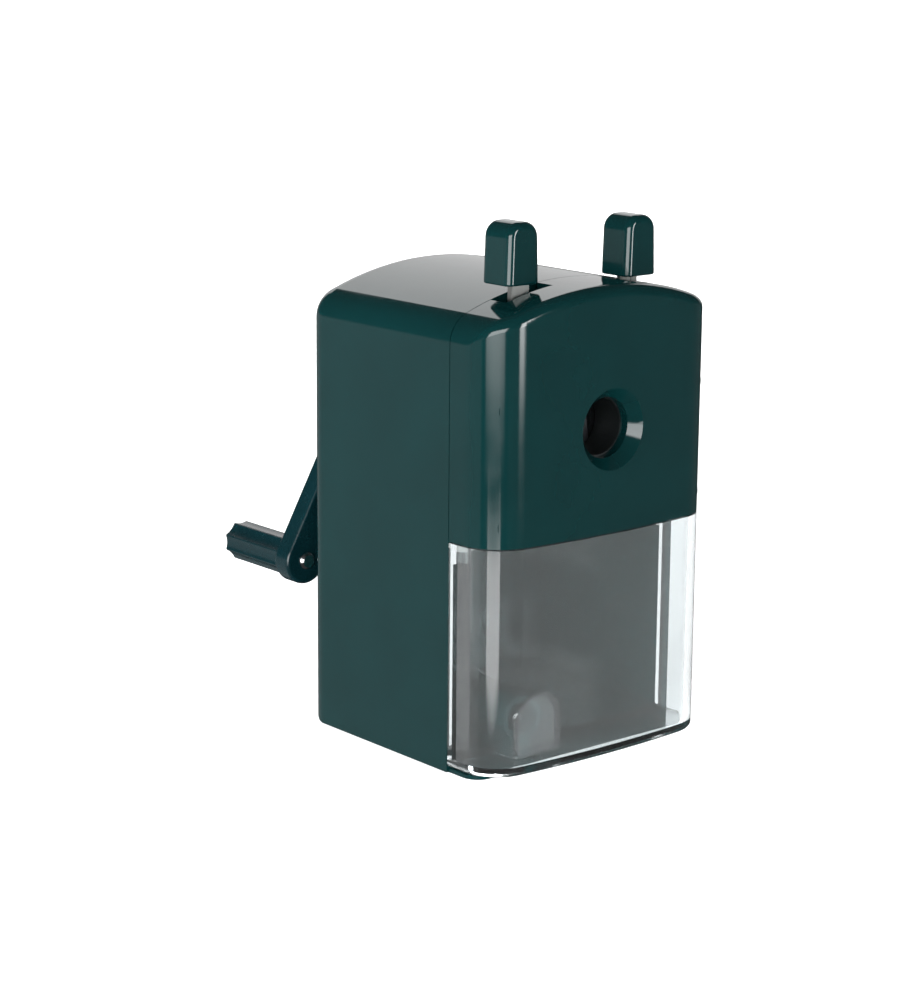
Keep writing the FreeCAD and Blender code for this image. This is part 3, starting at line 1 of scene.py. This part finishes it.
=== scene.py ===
"""Looks of the crank pencil sharpener: finishes for every part, screws with cross recesses, and
the studio."""

import json
import math

import bmesh
import bpy
from bpy.props import FloatProperty, FloatVectorProperty, IntProperty, PointerProperty
from mathutils import Matrix, Vector


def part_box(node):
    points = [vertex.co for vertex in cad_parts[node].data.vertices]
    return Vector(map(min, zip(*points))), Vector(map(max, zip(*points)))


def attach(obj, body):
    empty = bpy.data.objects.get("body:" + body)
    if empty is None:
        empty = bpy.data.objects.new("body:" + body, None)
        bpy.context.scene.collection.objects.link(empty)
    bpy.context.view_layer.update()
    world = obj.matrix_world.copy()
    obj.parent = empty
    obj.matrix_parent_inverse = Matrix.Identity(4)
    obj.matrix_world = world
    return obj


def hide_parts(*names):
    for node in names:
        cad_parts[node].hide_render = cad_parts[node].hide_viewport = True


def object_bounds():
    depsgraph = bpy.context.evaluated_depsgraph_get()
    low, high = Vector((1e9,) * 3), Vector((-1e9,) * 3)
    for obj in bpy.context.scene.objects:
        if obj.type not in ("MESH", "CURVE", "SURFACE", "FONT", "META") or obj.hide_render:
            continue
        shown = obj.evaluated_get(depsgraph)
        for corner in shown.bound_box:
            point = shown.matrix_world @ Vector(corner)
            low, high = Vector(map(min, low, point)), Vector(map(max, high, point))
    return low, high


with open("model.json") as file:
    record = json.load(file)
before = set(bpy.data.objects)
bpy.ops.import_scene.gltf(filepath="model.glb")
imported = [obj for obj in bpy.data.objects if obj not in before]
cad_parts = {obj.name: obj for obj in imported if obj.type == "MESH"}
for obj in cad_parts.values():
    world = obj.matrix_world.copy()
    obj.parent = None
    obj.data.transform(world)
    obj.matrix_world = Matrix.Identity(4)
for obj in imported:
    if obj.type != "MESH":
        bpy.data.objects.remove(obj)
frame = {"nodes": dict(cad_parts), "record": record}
CAD_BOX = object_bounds()

bl_info = {
    "name": "Crank pencil sharpener",
    "version": (1, 0, 0),
    "blender": (4, 5, 0),
    "location": "3D View > Sidebar > Sharpener",
    "description": "Finishes the crank pencil sharpener and lights it in a studio",
    "category": "Object",
}

MM = 0.001


# ---------------------------------------------------------------- colours and nodes

def linear(code):
    """An sRGB hex colour as linear RGBA."""
    channels = [int(code[start:start + 2], 16) / 255 for start in (1, 3, 5)]
    return [value / 12.92 if value <= 0.04045 else ((value + 0.055) / 1.055) ** 2.4
            for value in channels] + [1.0]


def shade(colour, factor):
    """A lighter or darker step of a linear colour."""
    return [min(value * factor, 1.0) for value in colour[:3]] + [1.0]


def add_node(tree, kind, values=None, links=None, **settings):
    """A node with its settings, socket values and incoming links."""
    node = tree.nodes.new(kind)
    for name, value in settings.items():
        setattr(node, name, value)
    for name, value in (values or {}).items():
        node.inputs[name].default_value = value
    for name, source in (links or {}).items():
        tree.links.new(source, node.inputs[name])
    return node


def new_material(name):
    """An empty material with its output, its shader and the object's own coordinates in metres."""
    material = bpy.data.materials.new(name)
    material.use_nodes = True
    tree = material.node_tree
    tree.nodes.clear()
    place = add_node(tree, "ShaderNodeTexCoord").outputs["Object"]
    shader = add_node(tree, "ShaderNodeBsdfPrincipled")
    output = add_node(tree, "ShaderNodeOutputMaterial", links={"Surface": shader.outputs["BSDF"]})
    output.target = "ALL"
    return material, tree, place, shader


def patches(tree, place, size_mm, low, high, start=0.3, end=0.7, detail=3.0, stretch=(1, 1, 1)):
    """A value that drifts from low to high in patches about size_mm across, drawn out where stretch
    is small."""
    moved = add_node(tree, "ShaderNodeMapping", {"Scale": stretch}, {"Vector": place})
    pattern = add_node(tree, "ShaderNodeTexNoise", {"Scale": 1 / (size_mm * MM), "Detail": detail},
                       {"Vector": moved.outputs["Vector"]})
    return add_node(tree, "ShaderNodeMapRange",
                    {"From Min": start, "From Max": end, "To Min": low, "To Max": high},
                    {"Value": pattern.outputs["Fac"]}).outputs["Result"]


def finish_surface(tree, shader, tint=None, dull=None, relief=None):
    """Give the surface its patterns: tint is a pattern and the two tones that it runs between,
    dull a pattern of roughness, and relief a pattern and its height in millimetres."""
    if tint:
        pattern, dark, light = tint
        mix = add_node(tree, "ShaderNodeMix", {6: dark, 7: light}, {"Factor": pattern}, data_type="RGBA")
        tree.links.new(mix.outputs[2], shader.inputs["Base Color"])
    if dull is not None:
        tree.links.new(dull, shader.inputs["Roughness"])
    if relief:
        pattern, height_mm = relief
        bump = add_node(tree, "ShaderNodeBump", {"Distance": height_mm * MM}, {"Height": pattern})
        tree.links.new(bump.outputs["Normal"], shader.inputs["Normal"])


# ---------------------------------------------------------------- materials

def polished_abs(name, colour, dull):
    """ABS moulded in a polished tool: a deep even colour under a sharp gloss, broken by faint flow
    ripples a few millimetres across and by a trace of handling haze."""
    material, tree, place, shader = new_material(name)
    shader.inputs["IOR"].default_value = 1.5
    finish_surface(tree, shader,
                   tint=(patches(tree, place, 14, 0.0, 1.0),
                         shade(colour, 0.93), shade(colour, 1.07)),
                   dull=patches(tree, place, 6, dull * 0.8, dull * 1.35),
                   relief=(patches(tree, place, 7, 0.0, 1.0, 0.0, 1.0, 1.0), 0.004))
    return material


def satin_abs(name, colour):
    """ABS moulded in a spark-eroded tool, as on a handle: a soft sheen over a fine grain, a little
    lighter where fingers have rubbed it."""
    material, tree, place, shader = new_material(name)
    shader.inputs["IOR"].default_value = 1.5
    # The real grain of 0.1 mm is too fine to show, so it is drawn at 0.5 mm.
    finish_surface(tree, shader,
                   tint=(patches(tree, place, 9, 0.0, 1.0),
                         shade(colour, 0.88), shade(colour, 1.15)),
                   dull=patches(tree, place, 4, 0.18, 0.3),
                   relief=(patches(tree, place, 0.5, 0.0, 1.0), 0.003))
    return material


def clear_styrene(name, colour):
    """General-purpose polystyrene, clear moulded: glassy walls with bright edges, a slight
    ripple from the flow, a thin milky veil and a few rubbed marks."""
    material, tree, place, shader = new_material(name)
    shader.inputs["Base Color"].default_value = colour
    shader.inputs["IOR"].default_value = 1.59
    shader.inputs["Transmission Weight"].default_value = 0.993
    finish_surface(tree, shader,
                   dull=patches(tree, place, 8, 0.01, 0.035, 0.45, 0.75, 2.0),
                   relief=(patches(tree, place, 16, 0.0, 1.0, 0.0, 1.0, 1.0), 0.012))
    return material


def zinc_plated_sheet(name, colour):
    """Cold-rolled steel sheet with bright zinc plating: soft rolled streaks along the sheet and a
    faintly clouded, slightly bluish metal."""
    material, tree, place, shader = new_material(name)
    shader.inputs["Metallic"].default_value = 1.0
    streak = (1, 1, 0.05)
    finish_surface(tree, shader,
                   tint=(patches(tree, place, 5, 0.0, 1.0),
                         shade(colour, 0.85), shade(colour, 1.1)),
                   dull=patches(tree, place, 0.5, 0.24, 0.42, stretch=streak),
                   relief=(patches(tree, place, 0.5, 0.0, 1.0, stretch=streak), 0.003))
    return material


def die_cast_zinc(name, colour):
    """Zinc die casting as it leaves the tool: dull grey metal, mottled, with a fine pebbled skin."""
    material, tree, place, shader = new_material(name)
    shader.inputs["Metallic"].default_value = 1.0
    finish_surface(tree, shader,
                   tint=(patches(tree, place, 2.5, 0.0, 1.0),
                         shade(colour, 0.75), shade(colour, 1.15)),
                   dull=patches(tree, place, 2.5, 0.42, 0.6),
                   relief=(patches(tree, place, 0.4, 0.0, 1.0), 0.01))
    return material


def ground_metal(name, colour, low, high, stretch):
    """Steel finished by grinding or turning: bright, with fine lines round or along the part."""
    material, tree, place, shader = new_material(name)
    shader.inputs["Metallic"].default_value = 1.0
    finish_surface(tree, shader,
                   tint=(patches(tree, place, 0.3, 0.0, 1.0, stretch=stretch),
                         shade(colour, 0.88), shade(colour, 1.08)),
                   dull=patches(tree, place, 0.3, low, high, stretch=stretch),
                   relief=(patches(tree, place, 0.3, 0.0, 1.0, stretch=stretch), 0.002))
    return material


def sintered_bronze(name, colour):
    """Oil-soaked sintered bronze: warm brown metal with open pores of about 0.2 mm."""
    material, tree, place, shader = new_material(name)
    shader.inputs["Metallic"].default_value = 1.0
    shader.inputs["Roughness"].default_value = 0.46
    finish_surface(tree, shader,
                   tint=(patches(tree, place, 0.25, 0.0, 1.0, 0.4, 0.6),
                         shade(colour, 0.55), colour),
                   relief=(patches(tree, place, 0.25, 0.0, 1.0), 0.015))
    return material


def moulded_polymer(name, colour, dull, grain_mm, ior):
    """Nylon or rubber moulded in a grained tool: nearly black, matt to satin, with a fine tooth."""
    material, tree, place, shader = new_material(name)
    shader.inputs["IOR"].default_value = ior
    finish_surface(tree, shader,
                   tint=(patches(tree, place, 6, 0.0, 1.0),
                         shade(colour, 0.8), shade(colour, 1.3)),
                   dull=patches(tree, place, 6, dull * 0.9, min(dull * 1.15, 1.0)),
                   relief=(patches(tree, place, grain_mm, 0.0, 1.0), 0.01))
    return material


def finish_nodes(material, slot):
    """Give a material to every CAD node that the record puts in a slot."""
    names = [part["node"] for part in frame["record"]["subparts"] if part["material_slot"] == slot]
    if not names:
        raise RuntimeError(f"no part uses the slot {slot}")
    for name in names:
        mesh = frame["nodes"][name].data
        mesh.materials.clear()
        mesh.materials.append(material)


# ---------------------------------------------------------------- settings

class SharpenerColours(bpy.types.PropertyGroup):
    """Colours of the finishes, as linear values of their sRGB codes."""
    shell: FloatVectorProperty(name="Shell", description="Glossy green ABS of the housing, head and caps",
                               subtype="COLOR", size=4, min=0, max=1, default=linear("#062a2b"))
    crank: FloatVectorProperty(name="Crank", description="Satin green ABS of the arm and knob",
                               subtype="COLOR", size=4, min=0, max=1, default=linear("#06252a"))
    drawer: FloatVectorProperty(name="Drawer", description="Clear polystyrene",
                                subtype="COLOR", size=4, min=0, max=1, default=linear("#eff3f4"))
    sheet: FloatVectorProperty(name="Plated sheet", description="Zinc-plated steel sheet",
                               subtype="COLOR", size=4, min=0, max=1, default=linear("#c9cbc8"))
    casting: FloatVectorProperty(name="Casting", description="Die-cast zinc",
                                 subtype="COLOR", size=4, min=0, max=1, default=linear("#8f9193"))
    tool: FloatVectorProperty(name="Tool steel", description="Hardened cutter and jaws",
                              subtype="COLOR", size=4, min=0, max=1, default=linear("#85888b"))
    steel: FloatVectorProperty(name="Ground steel", description="Shafts, rods, clips and wire",
                               subtype="COLOR", size=4, min=0, max=1, default=linear("#c4c5c7"))
    bronze: FloatVectorProperty(name="Bronze", description="Sintered bronze bearing",
                                subtype="COLOR", size=4, min=0, max=1, default=linear("#a87f4f"))
    nylon: FloatVectorProperty(name="Nylon", description="Black nylon bushes and sleeves",
                               subtype="COLOR", size=4, min=0, max=1, default=linear("#15191a"))
    rubber: FloatVectorProperty(name="Rubber", description="Black rubber pads",
                                subtype="COLOR", size=4, min=0, max=1, default=linear("#161616"))
    floor: FloatVectorProperty(name="Floor", description="Studio floor and backdrop",
                               subtype="COLOR", size=4, min=0, max=1, default=linear("#f6f6f6"))


class SharpenerSizes(bpy.types.PropertyGroup):
    """Sizes of the pieces made here, and of the studio."""
    recess_reach: FloatProperty(name="Recess reach",
                                description="Cross recess, as a share of the head's radius",
                                default=0.62, min=0.2, max=0.8)
    recess_arm: FloatProperty(name="Recess arm", description="Width of a recess arm, as a share of its reach",
                              default=0.3, min=0.1, max=0.6)
    recess_depth: FloatProperty(name="Recess depth",
                                description="Depth of the recess, as a share of the head",
                                default=0.7, min=0.2, max=0.9)
    screw_sides: IntProperty(name="Screw sides", description="Facets round a screw", default=48, min=16)
    pad_groove: FloatProperty(name="Pad groove", description="Depth of the grooves in a rubber pad",
                              default=0.35 * MM, min=0, unit="LENGTH")
    camera_place: FloatVectorProperty(name="Camera", description="Where the camera stands",
                                      subtype="TRANSLATION",
                                      unit="LENGTH", default=(-0.35367, -0.40217, 0.17361))
    camera_azimuth: FloatProperty(name="Azimuth", description="Camera's turn about the vertical",
                                  unit="ROTATION",
                                  default=math.radians(-40.208))
    camera_elevation: FloatProperty(name="Elevation", description="Camera above the horizon", unit="ROTATION",
                                    default=math.radians(12.991))
    camera_roll: FloatProperty(name="Roll", description="Camera's roll", unit="ROTATION",
                               default=math.radians(0.464))
    lens: FloatProperty(name="Lens", description="Focal length in millimetres", default=92.6, min=20)


# ---------------------------------------------------------------- pieces

def turned_mesh(name, profile, sides):
    """A closed mesh turned about +Z from pairs of radius and height; the ends lie on the axis."""
    shape = bmesh.new()
    rings = []
    for radius, height in profile:
        if radius == 0:
            rings.append([shape.verts.new((0, 0, height))])
            continue
        rings.append([shape.verts.new((radius * math.cos(2 * math.pi * step / sides),
                                       radius * math.sin(2 * math.pi * step / sides), height))
                      for step in range(sides)])
    for lower, upper in zip(rings, rings[1:]):
        for step in range(sides):
            following = (step + 1) % sides
            corners = [lower[step % len(lower)], lower[following % len(lower)],
                       upper[following % len(upper)], upper[step % len(upper)]]
            shape.faces.new(list(dict.fromkeys(corners)))
    bmesh.ops.recalc_face_normals(shape, faces=shape.faces)
    mesh = bpy.data.meshes.new(name)
    shape.to_mesh(mesh)
    shape.free()
    return mesh


def add_piece(name, mesh, material):
    """Put a mesh in the scene as an object with one material."""
    piece = bpy.data.objects.new(name, mesh)
    bpy.context.scene.collection.objects.link(piece)
    mesh.materials.clear()
    mesh.materials.append(material)
    return piece


def apply_modifiers(piece):
    """Make a piece's modifiers part of its mesh."""
    graph = bpy.context.evaluated_depsgraph_get()
    shaped = bpy.data.meshes.new_from_object(piece.evaluated_get(graph))
    piece.modifiers.clear()
    piece.data = shaped


def smooth_by_angle(piece, degrees=35):
    """Shade smooth, keeping edges sharper than an angle."""
    for face in piece.data.polygons:
        face.use_smooth = True
    piece.data.set_sharp_from_angle(angle=math.radians(degrees))


def cross_tool(reach, arm, top, depth):
    """A tapered cross that cuts a driver recess down from a height."""
    shape = bmesh.new()
    for quarter in (0, 1):
        turn = Matrix.Rotation(math.pi / 2 * quarter, 4, "Z")
        levels = []
        for share, height in ((0.35, top - depth), (1.0, top), (1.1, top + depth)):
            levels.append([shape.verts.new(turn @ Vector((x * reach * share,
                                                          y * arm * max(share, 0.7), height)))
                           for x, y in ((-1, -1), (1, -1), (1, 1), (-1, 1))])
        shape.faces.new(levels[0][::-1])
        shape.faces.new(levels[-1])
        for lower, upper in zip(levels, levels[1:]):
            for side in range(4):
                after = (side + 1) % 4
                shape.faces.new((lower[side], lower[after], upper[after], upper[side]))
    bmesh.ops.recalc_face_normals(shape, faces=shape.faces)
    mesh = bpy.data.meshes.new("cross_tool")
    shape.to_mesh(mesh)
    shape.free()
    return mesh


def make_screw(node, head_share, towards, countersunk, material, sizes):
    """A screw in place of a CAD node: a turned body along Y with a cross recess in its head.

    head_share is the head's part of the length, and towards is the way along Y that the head faces.
    """
    low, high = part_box(node)
    length = high.y - low.y
    radius = (high.x - low.x) / 2
    middle = (low + high) / 2
    head = length * head_share
    shank = radius * (0.48 if radius > 2 * MM else 0.53)
    tip = shank * 0.7
    if countersunk:
        profile = [(0, 0), (tip, 0), (shank, tip), (shank, length - head), (radius * 0.98, length - 0.1 * MM),
                   (radius * 0.98, length), (0, length)]
    else:
        profile = [(0, 0), (tip, 0), (shank, tip), (shank, length - head), (radius * 0.98, length - head),
                   (radius, length - head * 0.75), (radius * 0.95, length - head * 0.35),
                   (radius * 0.78, length - head * 0.1), (radius * 0.45, length), (0, length)]
    piece = add_piece(node + "_turned", turned_mesh(node + "_turned", profile, sizes.screw_sides), material)
    reach = radius * sizes.recess_reach
    tool_mesh = cross_tool(reach, reach * sizes.recess_arm, length, head * sizes.recess_depth)
    tool = add_piece(node + "_recess", tool_mesh, material)
    recess = piece.modifiers.new("recess", "BOOLEAN")
    recess.object = tool
    recess.solver = "EXACT"
    recess.use_self = True
    apply_modifiers(piece)
    bpy.data.objects.remove(tool)
    turn = Matrix.Rotation(math.pi / 2 * -towards, 4, "X")
    start = Vector((middle.x, low.y if towards > 0 else high.y, middle.z))
    piece.data.transform(Matrix.Translation(start) @ turn)
    smooth_by_angle(piece)
    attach(piece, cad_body(node))
    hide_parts(node)
    return piece


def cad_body(node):
    """The body that a CAD node rides on."""
    for body, members in frame["record"]["behaviour"]["bodies"].items():
        if node in members:
            return body
    raise RuntimeError(f"{node} is on no body")


# ---------------------------------------------------------------- operators

class SHARPENER_OT_camera(bpy.types.Operator):
    """Set up the camera"""
    bl_idname = "sharpener.camera"
    bl_label = "Camera"

    def execute(self, context):
        sizes = context.scene.sharpener_sizes
        turn, rise = sizes.camera_azimuth, sizes.camera_elevation
        back = Vector((math.sin(turn) * math.cos(rise), -math.cos(turn) * math.cos(rise), math.sin(rise)))
        right = Vector((0, 0, 1)).cross(back).normalized()
        up = back.cross(right)
        rolled_right = right * math.cos(sizes.camera_roll) + up * math.sin(sizes.camera_roll)
        rolled_up = back.cross(rolled_right)
        lens = bpy.data.cameras.new("camera")
        lens.lens = sizes.lens
        lens.sensor_width = 36
        lens.clip_start = 0.01
        camera = bpy.data.objects.new("camera", lens)
        context.scene.collection.objects.link(camera)
        axes = Matrix((rolled_right, rolled_up, back)).transposed().to_4x4()
        camera.matrix_world = Matrix.Translation(sizes.camera_place) @ axes
        context.scene.camera = camera
        return {"FINISHED"}


class SHARPENER_OT_studio(bpy.types.Operator):
    """Build the floor, the backdrop and the soft lights"""
    bl_idname = "sharpener.studio"
    bl_label = "Studio"

    def execute(self, context):
        self.build_floor(context.scene.sharpener_colours)
        self.build_world(context.scene)
        middle = (CAD_BOX[0] + CAD_BOX[1]) / 2
        self.add_light(context, "key_left", Vector((-0.95, 0.1, 0.3)), (0.7, 0.5), 8, middle)
        self.add_light(context, "fill_back", Vector((0.5, 0.95, 0.35)), (0.7, 0.5), 5, middle)
        context.scene.view_settings.view_transform = "Standard"
        return {"FINISHED"}

    @staticmethod
    def build_floor(colours):
        """A floor that curves up into a backdrop far behind."""
        shape = bmesh.new()
        width, depth, bend, height = 3.0, 2.4, 0.8, 1.8
        steps = 12
        path = [(-depth, 0.0), (depth - bend, 0.0)]
        path += [(depth - bend + bend * math.sin(math.pi / 2 * step / steps),
                  bend - bend * math.cos(math.pi / 2 * step / steps)) for step in range(1, steps + 1)]
        path.append((depth, height))
        rows = [[shape.verts.new((side * width, along, up)) for side in (-1, 1)] for along, up in path]
        for first, second in zip(rows, rows[1:]):
            face = shape.faces.new((first[0], first[1], second[1], second[0]))
            face.smooth = True
        mesh = bpy.data.meshes.new("floor")
        shape.to_mesh(mesh)
        shape.free()
        material, tree, place, shader = new_material("lit_matt_acrylic")
        finish_surface(tree, shader,
                       tint=(patches(tree, place, 300, 0.0, 1.0), shade(colours.floor, 0.99), colours.floor))
        shader.inputs["Roughness"].default_value = 0.9
        shader.inputs["Emission Color"].default_value = (1, 1, 1, 1)
        shader.inputs["Emission Strength"].default_value = 0.75
        floor = add_piece("floor", mesh, material)
        floor.rotation_euler = (0, 0, math.radians(-40))
        floor.visible_glossy = False

    @staticmethod
    def build_world(scene):
        """Dim surroundings with a few bright cards, each a rectangle seen in one direction."""
        world = bpy.data.worlds.new("studio")
        world.use_nodes = True
        tree = world.node_tree
        tree.nodes.clear()
        way = add_node(tree, "ShaderNodeTexCoord").outputs["Generated"]
        # Heading from +Y towards +X in degrees, then the half width, the lower and upper edge and the
        # softness as slopes, and the brightness at the lower and upper edge.
        glow = None
        for heading, half, low, high, soft, dim, bright in (
            (40, 0.65, -0.05, 0.7, 0.02, 0.66, 1.85),
            (-40, 1.3, -1.5, -0.02, 0.03, 0.29, 0.36),
            (140, 1.6, -1.5, -0.02, 0.05, 0.08, 0.08),
            (-128, 0.45, -0.17, 0.35, 0.06, 7.0, 8.0),
            (-128, 0.3, -0.32, -0.25, 0.015, 5.0, 5.0),
            (163, 0.12, -0.17, 0.35, 0.04, 14.0, 14.0),
        ):
            card = SHARPENER_OT_studio.add_card(tree, way, heading, half, low, high, soft, dim, bright)
            glow = card if glow is None else add_node(tree, "ShaderNodeMath", {1: 0.0}, {0: glow, 1: card},
                                                      operation="ADD").outputs["Value"]
        total = add_node(tree, "ShaderNodeMath", {1: 0.05}, {0: glow}, operation="ADD").outputs["Value"]
        light = add_node(tree, "ShaderNodeBackground", {"Color": (1, 1, 1, 1)}, {"Strength": total})
        add_node(tree, "ShaderNodeOutputWorld", links={"Surface": light.outputs["Background"]})
        scene.world = world

    @staticmethod
    def add_card(tree, way, heading, half, low, high, soft, dim, bright):
        """The brightness that one card adds in a direction."""
        faced = add_node(tree, "ShaderNodeMapping", {"Rotation": (0, 0, math.radians(heading))},
                         {"Vector": way}).outputs["Vector"]
        parts = add_node(tree, "ShaderNodeSeparateXYZ", links={"Vector": faced}).outputs
        ahead = add_node(tree, "ShaderNodeMath", {1: 0.001}, {0: parts["Y"]}, operation="MAXIMUM")
        slopes = [add_node(tree, "ShaderNodeMath", links={0: parts[axis], 1: ahead.outputs["Value"]},
                           operation="DIVIDE").outputs["Value"] for axis in ("X", "Z")]
        aside = add_node(tree, "ShaderNodeMath", links={0: slopes[0]}, operation="ABSOLUTE").outputs["Value"]
        brightness = add_node(tree, "ShaderNodeMapRange",
                              {"From Min": max(low, -0.2), "From Max": high, "To Min": dim, "To Max": bright},
                              {"Value": slopes[1]}).outputs["Result"]
        for slope, edge, inside in ((aside, half, -1), (slopes[1], high, -1), (slopes[1], low, 1)):
            mask = add_node(tree, "ShaderNodeMapRange",
                            {"From Min": edge - soft, "From Max": edge + soft,
                             "To Min": 0.0 if inside > 0 else 1.0, "To Max": 1.0 if inside > 0 else 0.0},
                            {"Value": slope}, interpolation_type="SMOOTHSTEP").outputs["Result"]
            brightness = add_node(tree, "ShaderNodeMath", links={0: brightness, 1: mask},
                                  operation="MULTIPLY").outputs["Value"]
        return brightness

    @staticmethod
    def add_light(context, name, place, size, power, aim):
        """A rectangular soft light aimed at the sharpener, which doesn't show in reflections."""
        lamp = bpy.data.lights.new(name, "AREA")
        lamp.shape = "RECTANGLE"
        lamp.size, lamp.size_y = size
        lamp.energy = power
        light = bpy.data.objects.new(name, lamp)
        context.scene.collection.objects.link(light)
        light.location = place
        light.rotation_euler = (place - aim).to_track_quat("Z", "Y").to_euler()
        light.visible_glossy = False
        light.visible_camera = False


class SHARPENER_OT_shell(bpy.types.Operator):
    """Finish the glossy housing, head and finger caps"""
    bl_idname = "sharpener.shell"
    bl_label = "Shell and caps"

    def execute(self, context):
        colours = context.scene.sharpener_colours
        finish_nodes(polished_abs("polished_green_abs", colours.shell, 0.09), "green_abs")
        return {"FINISHED"}


class SHARPENER_OT_crank(bpy.types.Operator):
    """Finish the crank arm and knob"""
    bl_idname = "sharpener.crank"
    bl_label = "Crank"

    def execute(self, context):
        colours = context.scene.sharpener_colours
        finish_nodes(satin_abs("satin_green_abs", colours.crank), "green_abs_crank")
        return {"FINISHED"}


class SHARPENER_OT_drawer(bpy.types.Operator):
    """Finish the clear shavings drawer"""
    bl_idname = "sharpener.drawer"
    bl_label = "Drawer"

    def execute(self, context):
        colours = context.scene.sharpener_colours
        finish_nodes(clear_styrene("clear_polystyrene", colours.drawer), "clear_styrene")
        # Clear plastic lets nearly all light through, so the drawer casts no shadow.
        frame["nodes"]["drawer"].visible_shadow = False
        return {"FINISHED"}


class SHARPENER_OT_metalwork(bpy.types.Operator):
    """Finish the plates, levers, gears, cutter, jaws, shafts and springs"""
    bl_idname = "sharpener.metalwork"
    bl_label = "Metalwork"

    def execute(self, context):
        colours = context.scene.sharpener_colours
        finish_nodes(zinc_plated_sheet("zinc_plated_sheet", colours.sheet), "zinc_plated_sheet")
        finish_nodes(die_cast_zinc("die_cast_zinc", colours.casting), "zinc_casting")
        finish_nodes(ground_metal("ground_tool_steel", colours.tool, 0.2, 0.4, (1, 0.1, 1)), "tool_steel")
        # The jaw steel is the tool steel darkened to 0.6 of its brightness: painted shade for the jaws deep
        # in the hole.
        finish_nodes(ground_metal("shaded_jaw_steel", shade(colours.tool, 0.6), 0.3, 0.5, (1, 1, 0.2)),
                     "jaw_steel")
        finish_nodes(ground_metal("ground_steel", colours.steel, 0.12, 0.26, (1, 0.08, 1)), "ground_steel")
        finish_nodes(ground_metal("drawn_spring_wire", shade(colours.steel, 0.85), 0.2, 0.35, (1, 1, 1)),
                     "spring_wire")
        finish_nodes(ground_metal("turned_rivet_steel", colours.steel, 0.14, 0.24, (0.3, 1, 0.3)),
                     "bright_rivet")
        finish_nodes(sintered_bronze("sintered_bronze", colours.bronze), "sintered_bronze")
        return {"FINISHED"}


class SHARPENER_OT_screws(bpy.types.Operator):
    """Model the cross-recessed screws"""
    bl_idname = "sharpener.screws"
    bl_label = "Screws"

    def execute(self, context):
        sizes = context.scene.sharpener_sizes
        plated = zinc_plated_sheet("zinc_plated_screw", context.scene.sharpener_colours.sheet)
        for node in sorted(frame["nodes"]):
            if node.startswith("plate_screw"):
                make_screw(node, 0.107, -1, False, plated, sizes)
            elif node.startswith("ring_screw"):
                make_screw(node, 0.2, -1, False, plated, sizes)
            elif node.startswith("head_screw"):
                make_screw(node, 0.12, 1, True, plated, sizes)
            elif node == "crank_screw":
                make_screw(node, 0.184, 1, False, plated, sizes)
        return {"FINISHED"}


class SHARPENER_OT_bushes(bpy.types.Operator):
    """Finish the black nylon bushes and sleeves"""
    bl_idname = "sharpener.bushes"
    bl_label = "Bushes"

    def execute(self, context):
        colours = context.scene.sharpener_colours
        finish_nodes(moulded_polymer("moulded_black_nylon", colours.nylon, 0.42, 0.6, 1.53), "black_nylon")
        return {"FINISHED"}


class SHARPENER_OT_pads(bpy.types.Operator):
    """Model the grooved rubber pads under the housing"""
    bl_idname = "sharpener.pads"
    bl_label = "Rubber pads"

    def execute(self, context):
        scene = context.scene
        rubber = moulded_polymer("moulded_black_rubber", scene.sharpener_colours.rubber, 0.75, 0.4, 1.52)
        groove = scene.sharpener_sizes.pad_groove
        for node in sorted(frame["nodes"]):
            if not node.startswith("foot_"):
                continue
            low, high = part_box(node)
            radius = (high.x - low.x) / 2
            height = high.z - low.z
            profile = [(0, groove)]
            for share in (0.2, 0.5, 0.8):
                profile += [(radius * (share - 0.05), groove), (radius * share, 0),
                            (radius * (share + 0.12), 0), (radius * (share + 0.17), groove)]
            profile += [(radius, groove), (radius, height), (0, height)]
            pad = add_piece(node + "_pad", turned_mesh(node + "_pad", profile, 48), rubber)
            pad.data.transform(Matrix.Translation(((low.x + high.x) / 2, (low.y + high.y) / 2, low.z)))
            smooth_by_angle(pad, 30)
            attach(pad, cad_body(node))
            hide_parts(node)
        return {"FINISHED"}


class SHARPENER_PT_panel(bpy.types.Panel):
    """Buttons for each group of pieces"""
    bl_idname = "SHARPENER_PT_panel"
    bl_label = "Pencil sharpener"
    bl_space_type = "VIEW_3D"
    bl_region_type = "UI"
    bl_category = "Sharpener"

    def draw(self, context):
        for operator in OPERATORS:
            self.layout.operator(operator.bl_idname)


OPERATORS = (SHARPENER_OT_camera, SHARPENER_OT_shell, SHARPENER_OT_crank, SHARPENER_OT_drawer,
             SHARPENER_OT_metalwork, SHARPENER_OT_screws, SHARPENER_OT_bushes, SHARPENER_OT_pads,
             SHARPENER_OT_studio)
CLASSES = (SharpenerColours, SharpenerSizes) + OPERATORS + (SHARPENER_PT_panel,)


def register():
    for item in CLASSES:
        bpy.utils.register_class(item)
    bpy.types.Scene.sharpener_colours = PointerProperty(type=SharpenerColours)
    bpy.types.Scene.sharpener_sizes = PointerProperty(type=SharpenerSizes)


def unregister():
    del bpy.types.Scene.sharpener_sizes
    del bpy.types.Scene.sharpener_colours
    for item in reversed(CLASSES):
        bpy.utils.unregister_class(item)


def main():
    """Make everything in order."""
    register()
    for operator in OPERATORS:
        group, name = operator.bl_idname.split(".")
        getattr(getattr(bpy.ops, group), name)()


if __name__ == "__main__":
    main()
